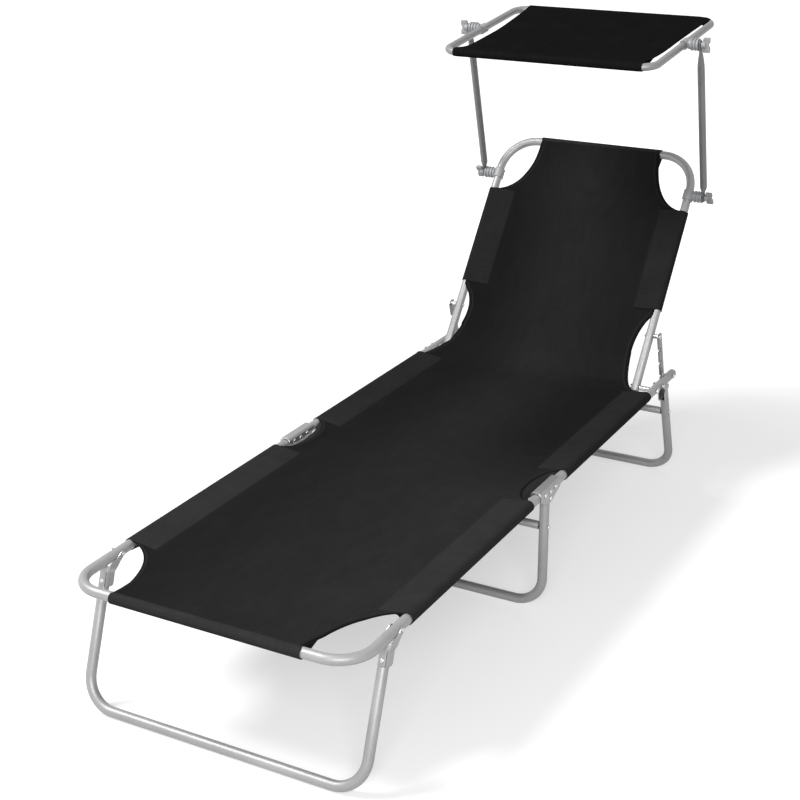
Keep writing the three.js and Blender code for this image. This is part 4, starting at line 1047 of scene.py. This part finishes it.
class Cloth:
    """Points of a cloth in strips of rows, with their flat places (x, l, tone), and its faces."""

    def __init__(self):
        self.points, self.flat, self.faces = [], [], []

    def add(self, points, width):
        self.faces += strip(len(points) // width, width, len(self.points))
        self.points += [point for point, place in points]
        self.flat += [place for point, place in points]

    def build(self, name, mat):
        obj = solid(name, (self.points, self.faces), mat, flat=self.flat)
        thick = obj.modifiers.new("cloth", "SOLIDIFY")
        thick.thickness = CLOTH_THICK / MM
        thick.offset = 0
        apply(obj)
        return obj


def main_sheet(l):
    """A row of the sling itself."""
    free = not any(first <= l <= last for first, last in WRAPS)
    row = []
    for x in columns(l):
        d = half_width(l, x) - abs(x)
        over = 0.0 if free else held((SEAM + 2 - d) / 3)
        band = rim(d, l, x) if free else 0.0
        # Beside a free edge the hem's tone; elsewhere painted light and shading, paler toward the double ply
        # under the sleeves.
        band = band or painted_light_and_shade(x, l) * (1 - over) + double_ply_and_light(l) * over
        n = hem(d, free) - sag(x, l) + (0 if free else pucker(l, d))
        row.append((on_cloth(x, l, n), (x, l, band)))
    return row


TURNS = [WRAP_END * k / WRAP_STEPS for k in range(WRAP_STEPS + 1)]
CLOSE_FADE, CLOSE_FAST = 9, 3.2


def side_sleeve(l, s, zone):
    """A row of a sleeve: round the tube and back to its seam, drawn shut at the sleeve's ends."""
    half, arc = tube_half(l), LIFT + PLY
    row = []
    for a in TURNS:
        point = on_cloth(s * (half + arc * math.sin(a)), l, -LIFT + arc * math.cos(a))
        row.append((point, (s * (half + arc * a), l, double_ply_and_light(l))))
    x_end, n_end = half + arc * math.sin(WRAP_END), -LIFT + arc * math.cos(WRAP_END)
    close = math.exp(-min(l - zone[0], zone[1] - l) / CLOSE_FADE)
    for k in range(1, RETURN_PLIES + 1):
        t = k / RETURN_PLIES
        x = s * (x_end + (half - SEAM - x_end) * t)
        slack = n_end + (-DROP - UNDER - n_end) * t
        drawn = n_end + (-sag(x, l) - UNDER - n_end) * min(1.0, t * CLOSE_FAST)
        point = on_cloth(x, l, slack + (drawn - slack) * close)
        row.append((point, (s * (half + arc * WRAP_END + SLEEVE * t), l, 1)))
    return row


PLY_IN, PLY_NEAR, PLY_MORE, PLY_TO, PLY_OVER, PLY_STEPS = 5, 260, 6, 49, 1.5, 6
FALL_FROM, FALL_LONG, FALL_POWER = 4, 24, 1.3


def lower_ply(l, s):
    """A row of the ply that shows below the sling in the cut-outs at the hinges; its paler tone is painted
    light.
    """
    near = min(half_width(l, 1) - PLY_IN, PLY_NEAR)
    far = PLY_END + PLY_MORE * held((abs(l - HINGE_CUT_L) - PLY_TO) / PLY_MORE)
    row = []
    for k in range(PLY_STEPS + 1):
        x = near + (far - near) * k / PLY_STEPS
        fall = PLY_FALL * (max(0.0, x - near - FALL_FROM) / FALL_LONG) ** FALL_POWER
        row.append((on_cloth(s * x, l, -sag(s * near, l) - PLY_OVER - fall), (s * x, l, PLY_PAINTED_LIGHT)))
    return row


END_PLY, HEM_FADE, END_RETURNS = 0.7, 2.5, 4


def end_sleeve(edge_l, way):
    """The sleeve round the front tube or the top tube, and its return below the sling."""
    arc = LIFT + END_PLY
    xs = columns(edge_l)
    rows = []
    for a in TURNS:
        for x in xs:
            lifted = (hem(half_width(edge_l, x) - abs(x), True) - END_PLY) * math.exp(-a * HEM_FADE)
            n = -LIFT + arc * math.cos(a) + lifted
            rows.append((on_cloth(x, edge_l, n, way * arc * math.sin(a)), (x, edge_l + way * arc * a, 1)))
    past_end, n_end = way * arc * math.sin(WRAP_END), -LIFT + arc * math.cos(WRAP_END)
    for k in range(1, END_RETURNS + 1):
        t = k / END_RETURNS
        past = past_end + (-way * SLEEVE - past_end) * t
        n = n_end + (-DROP - UNDER - n_end) * t
        flat_l = edge_l + way * (arc * WRAP_END + SLEEVE * t)
        rows += [(on_cloth(x, edge_l, n, past), (x, flat_l, 1)) for x in xs]
    return rows, len(xs)


def sling(name, start, stop, front=False, top=False):
    """One sheet of the sling, with the sleeves that lie on it."""
    rows = sling_rows(start, stop)
    sleeve_width = len(TURNS) + RETURN_PLIES
    sheet = Cloth()
    sheet.add([point for l in rows for point in main_sheet(l)], len(columns(start)))
    for zone in WRAPS:
        inside = [l for l in rows if zone[0] <= l <= zone[1]]
        if len(inside) > 1:
            for s in (-1, 1):
                sheet.add([point for l in inside for point in side_sleeve(l, s, zone)], sleeve_width)
    inside = [l for l in rows if abs(l - HINGE_CUT_L) <= HINGE_CUT_LONG]
    for s in (-1, 1):
        sheet.add([point for l in inside for point in lower_ply(l, s)], PLY_STEPS + 1)
    if front:
        sheet.add(*end_sleeve(0.0, -1))
    if top:
        sheet.add(*end_sleeve(TOP_L, 1))
    return sheet.build(name, CLOTH)


SPLIT_L = 1110.0
FOOT_BEND, SEAT_BEND, BACK_BEND = (655, 716), (724, 785), (1225, 1520)

foot_cloth = sling("sling_foot_cloth", 0.0, HINGE_Y, front=True)
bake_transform(foot_cloth)
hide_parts("sling_foot")
seat_cloth = sling("sling_seat_cloth", HINGE_Y, SPLIT_L)
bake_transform(seat_cloth)
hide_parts("sling_seat")
back_cloth = sling("sling_back_cloth", SPLIT_L, TOP_L, top=True)
[to_row(*on_cloth(0, l, 0)) for l in BACK_BEND]
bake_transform(back_cloth)
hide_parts("sling_bend", "sling_back")

# Canopy
BUTT_GAP = 0.5
pipe("canopy_tube_bent", [(-BUTT_GAP / 2, CAN_BACK, 0), (-CAN_HALF, CAN_BACK, 0), (-CAN_HALF, -CAN_FRONT, 0),
                          (CAN_HALF, -CAN_FRONT, 0), (CAN_HALF, CAN_BACK, 0), (BUTT_GAP / 2, CAN_BACK, 0)],
     CAN_ROUND, (0, 0, 1), CAN_TUBE, "canopy", "canopy_tube", canopy, mat=CANOPY_STEEL)

# The cloth's side edges in the canopy's plane: (back from its middle, across)
LEFT_EDGE = ((-199, -220), (-193, -206), (-186, -198), (-176, -194), (-160, -191.5), (-110, -190.5),
             (-40, -191.5), (20, -194), (80, -198), (150, -205), (194, -211))
RIGHT_EDGE = ((-199, 219), (-188, 221), (-173, 225), (-148, 229.5), (-110, 231), (80, 232), (130, 234),
              (194, 237))
SMOOTHING = (-6, -3, 0, 3, 6)
ACROSS_SHARES = (0, 0.01, 0.03, 0.07, 0.1, 0.14, 0.2, 0.3, 0.4, 0.5, 0.6, 0.7, 0.8, 0.86, 0.9, 0.93, 0.97,
                 0.99, 1)
NEAR_SHARES = (0, 0.006, 0.013, 0.022, 0.032, 0.044)
RETURN_SHARES = (0, 0.08, 0.17, 0.25, 0.33, 0.5, 0.67, 1)
CAN_LIFT, CAN_SLEEVE, CAN_STEPS = CAN_TUBE + 0.9, 38, 14
CAN_SPAN = CAN_FRONT + CAN_BACK
CAN_SAG, CAN_WAVE, WAVE_BACK, WAVE_ACROSS = 4.2, 0.5, 31, 47
CAN_HEM, CAN_PLY, CAN_CURL, CAN_CURL_WIDE = 12, 0.5, 1.6, 6
CAN_GROOVE, CAN_GROOVE_WIDE = 0.6, 3
RETURN_IN = 1.5
CORNER_SHARE = 0.98


def cloth_sides(v):
    """The left and the right edge of the canopy's cloth, smoothed over a few millimetres."""
    return [sum(read(edge, v + step) for step in SMOOTHING) / len(SMOOTHING)
            for edge in (LEFT_EDGE, RIGHT_EDGE)]


def corner_shift(x):
    """How far the bent tube has left the straight line of its front or back side at a place across."""
    past = max(0.0, abs(x) - (CAN_HALF - CAN_ROUND))
    return CAN_ROUND * (1 - ellipse(min(past / CAN_ROUND, CORNER_SHARE)))


def canopy_point(v0, a, way, share):
    """A point (across, back, up) and its flat place: on the sheet, or turned by a round one of the tubes."""
    left, right_side = cloth_sides(v0)
    x = left + (right_side - left) * share
    q = (v0 + CAN_FRONT) / CAN_SPAN
    v = v0 + corner_shift(x) * (1 - 2 * q) + way * CAN_LIFT * math.sin(a)
    w = CAN_LIFT * math.cos(a)
    if way == 0:
        dip = math.sin(math.pi * q)
        wave = CAN_WAVE * math.sin(v0 / WAVE_BACK + x / WAVE_ACROSS)
        w -= dip * (CAN_SAG * (1 - (2 * share - 1) ** 2) + wave)
        d = min(x - left, right_side - x)
        if d < CAN_HEM:
            w += CAN_PLY - CAN_CURL * max(0.0, 1 - d / CAN_CURL_WIDE) * dip
        seam = min(v0 + CAN_FRONT, CAN_BACK - v0) - CAN_SLEEVE
        w -= CAN_GROOVE * math.exp(-(seam / CAN_GROOVE_WIDE) ** 2)
    return (x, v, w), (x, v0 + way * CAN_LIFT * a, 0)


def canopy_return(v_end, way):
    """The ply of a sleeve that comes back under the sheet and follows its cut edges."""
    points = []
    inward = CAN_SLEEVE + CAN_LIFT * math.sin(WRAP_END) * way
    for t in RETURN_SHARES:
        left, right_side = cloth_sides(v_end - way * CAN_SLEEVE * t)
        left, right_side = left + RETURN_IN * t, right_side - RETURN_IN * t
        for share in ACROSS_SHARES:
            (_, v, w), (flat_x, flat_v, tone) = canopy_point(v_end, WRAP_END, way, share)
            place = (left + (right_side - left) * share, v - way * inward * t, w + (CAN_LIFT - UNDER - w) * t)
            points.append((canopy(*place), (flat_x, flat_v + way * CAN_SLEEVE * t, tone)))
    return points


def canopy_cloth():
    rows = [(-CAN_FRONT, WRAP_END * (1 - k / CAN_STEPS), -1) for k in range(CAN_STEPS)]
    shares = [*NEAR_SHARES, *np.linspace(0.06, 0.94, 50), *(1 - q for q in NEAR_SHARES[::-1])]
    rows += [(-CAN_FRONT + CAN_SPAN * float(q), 0.0, 0) for q in shares]
    rows += [(CAN_BACK, WRAP_END * (k + 1) / CAN_STEPS, 1) for k in range(CAN_STEPS)]
    width = len(ACROSS_SHARES)
    made = [canopy_point(*row, share) for row in rows for share in ACROSS_SHARES]
    sheet = Cloth()
    sheet.add([(canopy(*point), place) for point, place in made], width)
    sheet.add(canopy_return(-CAN_FRONT, -1), width)
    sheet.add(canopy_return(CAN_BACK, 1), width)
    obj = sheet.build("canopy_cloth_sheet", CANOPY_CLOTH)
    carried(obj, "canopy", ["canopy_cloth"])


canopy_cloth()

# Arms, clamps and knobs
clamp_y, clamp_z = BACK_Y + CLAMP_AT * math.cos(BACK_A), HIGH + CLAMP_AT * math.sin(BACK_A)
arm_long = math.hypot(CAN_Y - clamp_y, CAN_Z - clamp_z)
arm_turn = math.atan2(CAN_Z - clamp_z, CAN_Y - clamp_y) - math.pi / 2
ARM_FLAT, ARM_GAP = 2.5, 0.3
# An arm's end and its two tapers: (along the arm from the bolt, half across, half along the lounger)
ARM_EYE = ((-11, 0.1, 0.6), (-10.6, 1.8, 3.2), (-9.5, 2.4, 5.6), (-7, 2.5, 7.8), (-3, 2.5, 8.8),
           (13.5, 2.5, 8.95))
ARM_LOW = ((15.5, 3.0, 8.9), (19, 5.0, 8.6), (23, 6.9, 8.3), (27, 7.8, 8.1), (31, 8.0, 8.0))
ARM_HIGH = ((18, 2.9, 8.9), (26, 4.6, 8.6), (36, 6.3, 8.3), (47, 7.6, 8.1), (58, 8.0, 8.0))


def arm(side, s):
    """A tube that is pressed flat at both ends."""
    levels = [*ARM_EYE, *ARM_LOW] + [(arm_long - z, a, b) for z, a, b in (*ARM_EYE, *ARM_HIGH)[::-1]]
    rings = [(Vector((s * ARM_X, 0, z)), Vector((0, 0, 1)), b, a) for z, a, b in levels]
    piece(f"arm_tube_{side}", sweep(rings, (1, 0, 0), 32), ARM_STEEL, "canopy_arms", f"arm_{side}",
          turned(clamp_y, clamp_z, arm_turn))


RING_WALL, RING_GAP, RING_HALF, MOUTH = 2.8, 0.3, 12, 5.5
RIBS, CORE, RIB, RIB_ROUND, RIB_SLOPE, RIB_EDGE = 3, 10.8, 13.4, 0.5, 0.4, 0.1
RING_STEPS = 40


def clamp_piece(name, s, tube_x, tube_r, frame, body, node):
    """A split ring round the tube and a ribbed boss that reaches to the arm."""
    outer, inner = tube_r + RING_WALL, tube_r + RING_GAP
    mouth = math.asin(MOUTH / outer)
    arc = [math.pi + mouth + (2 * math.pi - 2 * mouth) * k / RING_STEPS for k in range(RING_STEPS + 1)]
    band = ring_band(outer, inner, arc)
    ring = prism(band, lambda u, v, d: (s * (tube_x + u), d, v), -RING_HALF, RING_HALF)
    boss_end = ARM_X - ARM_FLAT - ARM_GAP - tube_x
    pitch = (boss_end - outer) / (2 * RIBS)
    profile = [(inner + RIB_SLOPE, CORE)]
    for i in range(RIBS):
        start = boss_end - (2 * (RIBS - i) - 1) * pitch
        end = start + pitch
        profile += [(start - RIB_ROUND, CORE), (start - RIB_EDGE, RIB - RIB_ROUND), (start + RIB_ROUND, RIB),
                    (end - RIB_ROUND, RIB)]
        if i < RIBS - 1:
            profile += [(end - RIB_EDGE, RIB - RIB_ROUND), (end + RIB_SLOPE, CORE)]
    profile += [(boss_end - RIB_SLOPE, RIB), (boss_end, RIB - RIB_ROUND)]
    boss = lathe(profile, s * tube_x, 0, 0, s, sides=36)
    piece(name, merged([ring, boss]), PLASTIC, body, node, frame, smooth_edge=0.35)


# A wing knob: u is the distance from the arm, v the distance along the wings
WING_IN, WING_OUT, WING_LONG, WING_HALF = 2.5, 18, 16, 3.2
HALF_WING = ([(WING_OUT, 5.5), (WING_OUT, 14.5)]
             + curve((WING_OUT, 14.5), (WING_OUT, WING_LONG), (16.5, WING_LONG), 3)
             + [(6, WING_LONG)] + curve((6, WING_LONG), (2.6, WING_LONG), (WING_IN, 7.2)))
SLOTS, SLOT_V, SLOT_WIDE, SLOT_LONG, SLOT_HALF = (6.5, 10.0, 13.5), 11.5, 0.7, 2.6, 3.9
HUB = ((0.0, 6.9), (0.5, 7.5), (8.4, 7.3), (9.0, 6.8))
BOLT = ((-13.8, 2.1), (-13.4, 2.5), (1, 2.5))


def wing_outline():
    """Both wings, with a shallow notch between their tips."""
    far = curve((WING_OUT, -5.5), (15.2, -3.2), (15, 0)) + curve((15, 0), (15.2, 3.2), (WING_OUT, 5.5))
    low_wing = [(u, -v) for u, v in HALF_WING]
    return low_wing[::-1] + far + HALF_WING[1:]


def knob_piece(name, s, frame, turn, body):
    """A hub with two rounded wings that carry ridges, and the bolt."""
    c, r = math.cos(turn), math.sin(turn)
    x0 = ARM_X + ARM_FLAT + ARM_GAP

    def at(u, v, d):
        return s * (x0 + u), v * c - d * r, v * r + d * c

    parts = [prism(wing_outline(), at, -WING_HALF, WING_HALF)]
    for v in (-SLOT_V, SLOT_V):
        for u in SLOTS:
            ridge = [(u + a * SLOT_WIDE, v + b * SLOT_LONG) for a, b in ((-1, -1), (1, -1), (1, 1), (-1, 1))]
            parts.append(prism(ridge, at, -SLOT_HALF, SLOT_HALF))
    parts += [lathe(HUB, s * x0, 0, 0, s, sides=32), lathe(BOLT, s * x0, 0, 0, s, sides=16)]
    piece(name, merged(parts), PLASTIC, body, body, frame, smooth_edge=0.5)


CLAMPS = (("lower", turned(clamp_y, clamp_z, BACK_A), BACK_HALF, TUBE, "backrest", math.radians(70)),
          ("upper", canopy, CAN_HALF, CAN_TUBE, "canopy_clamps", math.radians(90)))
for side, s in SIDES:
    arm(side, s)
    for where, place, tube_x, tube_r, body, turn in CLAMPS:
        clamp_piece(f"{where}_clamp_ribbed_{side}", s, tube_x, tube_r, place, body, f"{where}_clamp_{side}")
    for where, place, tube_x, tube_r, body, turn in CLAMPS:
        knob_piece(f"{where}_wing_{side}", s, place, turn, f"{where}_knob_{side}")

# Floor, world and lamps, in metres
FLOOR_HALF = 14
NEAR_GLOW, FAR_GLOW = 0.50, 0.90
GLOW_FROM, GLOW_TO = 1.0, 2.6
AMBIENT, WHITE = 0.38, 1.0
KEY_WATTS, FILL_WATTS = 315, 175
LAMPS_AIM = (0, 0, 0.35)

corners = [(a * FLOOR_HALF, b * FLOOR_HALF, 0) for a, b in ((-1, -1), (1, -1), (1, 1), (-1, 1))]
floor = link(bpy.data.objects.new("floor", bpy.data.meshes.new("floor")))
floor.data.from_pydata(corners, [], [(0, 1, 2, 3)])
n = material("floor")
n.set(Base_Color=(0.55, 0.55, 0.55, 1), Roughness=0.9, Specular_IOR_Level=0.0)
away = n.new("ShaderNodeVectorMath", {0: n.place()}, operation="LENGTH").outputs["Value"]
faded = n.new("ShaderNodeMapRange", {"Value": away, "From Min": GLOW_FROM, "From Max": GLOW_TO,
                                     "To Min": NEAR_GLOW, "To Max": FAR_GLOW})
shine = n.new("ShaderNodeEmission", {"Color": (1, 1, 1, 1), "Strength": n.math("MULTIPLY", n.seen(), faded)})
both = n.new("ShaderNodeAddShader", {0: n.bsdf, 1: shine})
n.put(n.tree.nodes["Material Output"].inputs["Surface"], both)
floor.data.materials.append(n.owner)

studio = Nodes(bpy.data.worlds.new("studio"))
bpy.context.scene.world = studio.owner
ground = studio.tree.nodes["Background"]
studio.put(ground.inputs["Color"], (1, 1, 1, 1))
studio.put(ground.inputs["Strength"], studio.range(studio.seen(), AMBIENT, WHITE))


def lamp(name, place, size, watts):
    obj = link(bpy.data.objects.new(name, bpy.data.lights.new(name, "AREA")))
    obj.data.shape = "DISK"
    obj.data.size = size
    obj.data.energy = watts
    obj.location = place
    obj.rotation_euler = (Vector(LAMPS_AIM) - obj.location).to_track_quat("-Z", "Y").to_euler()


lamp("key", (-3.0, -2.0, 4.8), 1.8, KEY_WATTS)
lamp("fill", (2.2, -4.2, 2.6), 2.5, FILL_WATTS)

bpy.context.scene.view_settings.view_transform = "Standard"

bpy.context.view_layer.update()
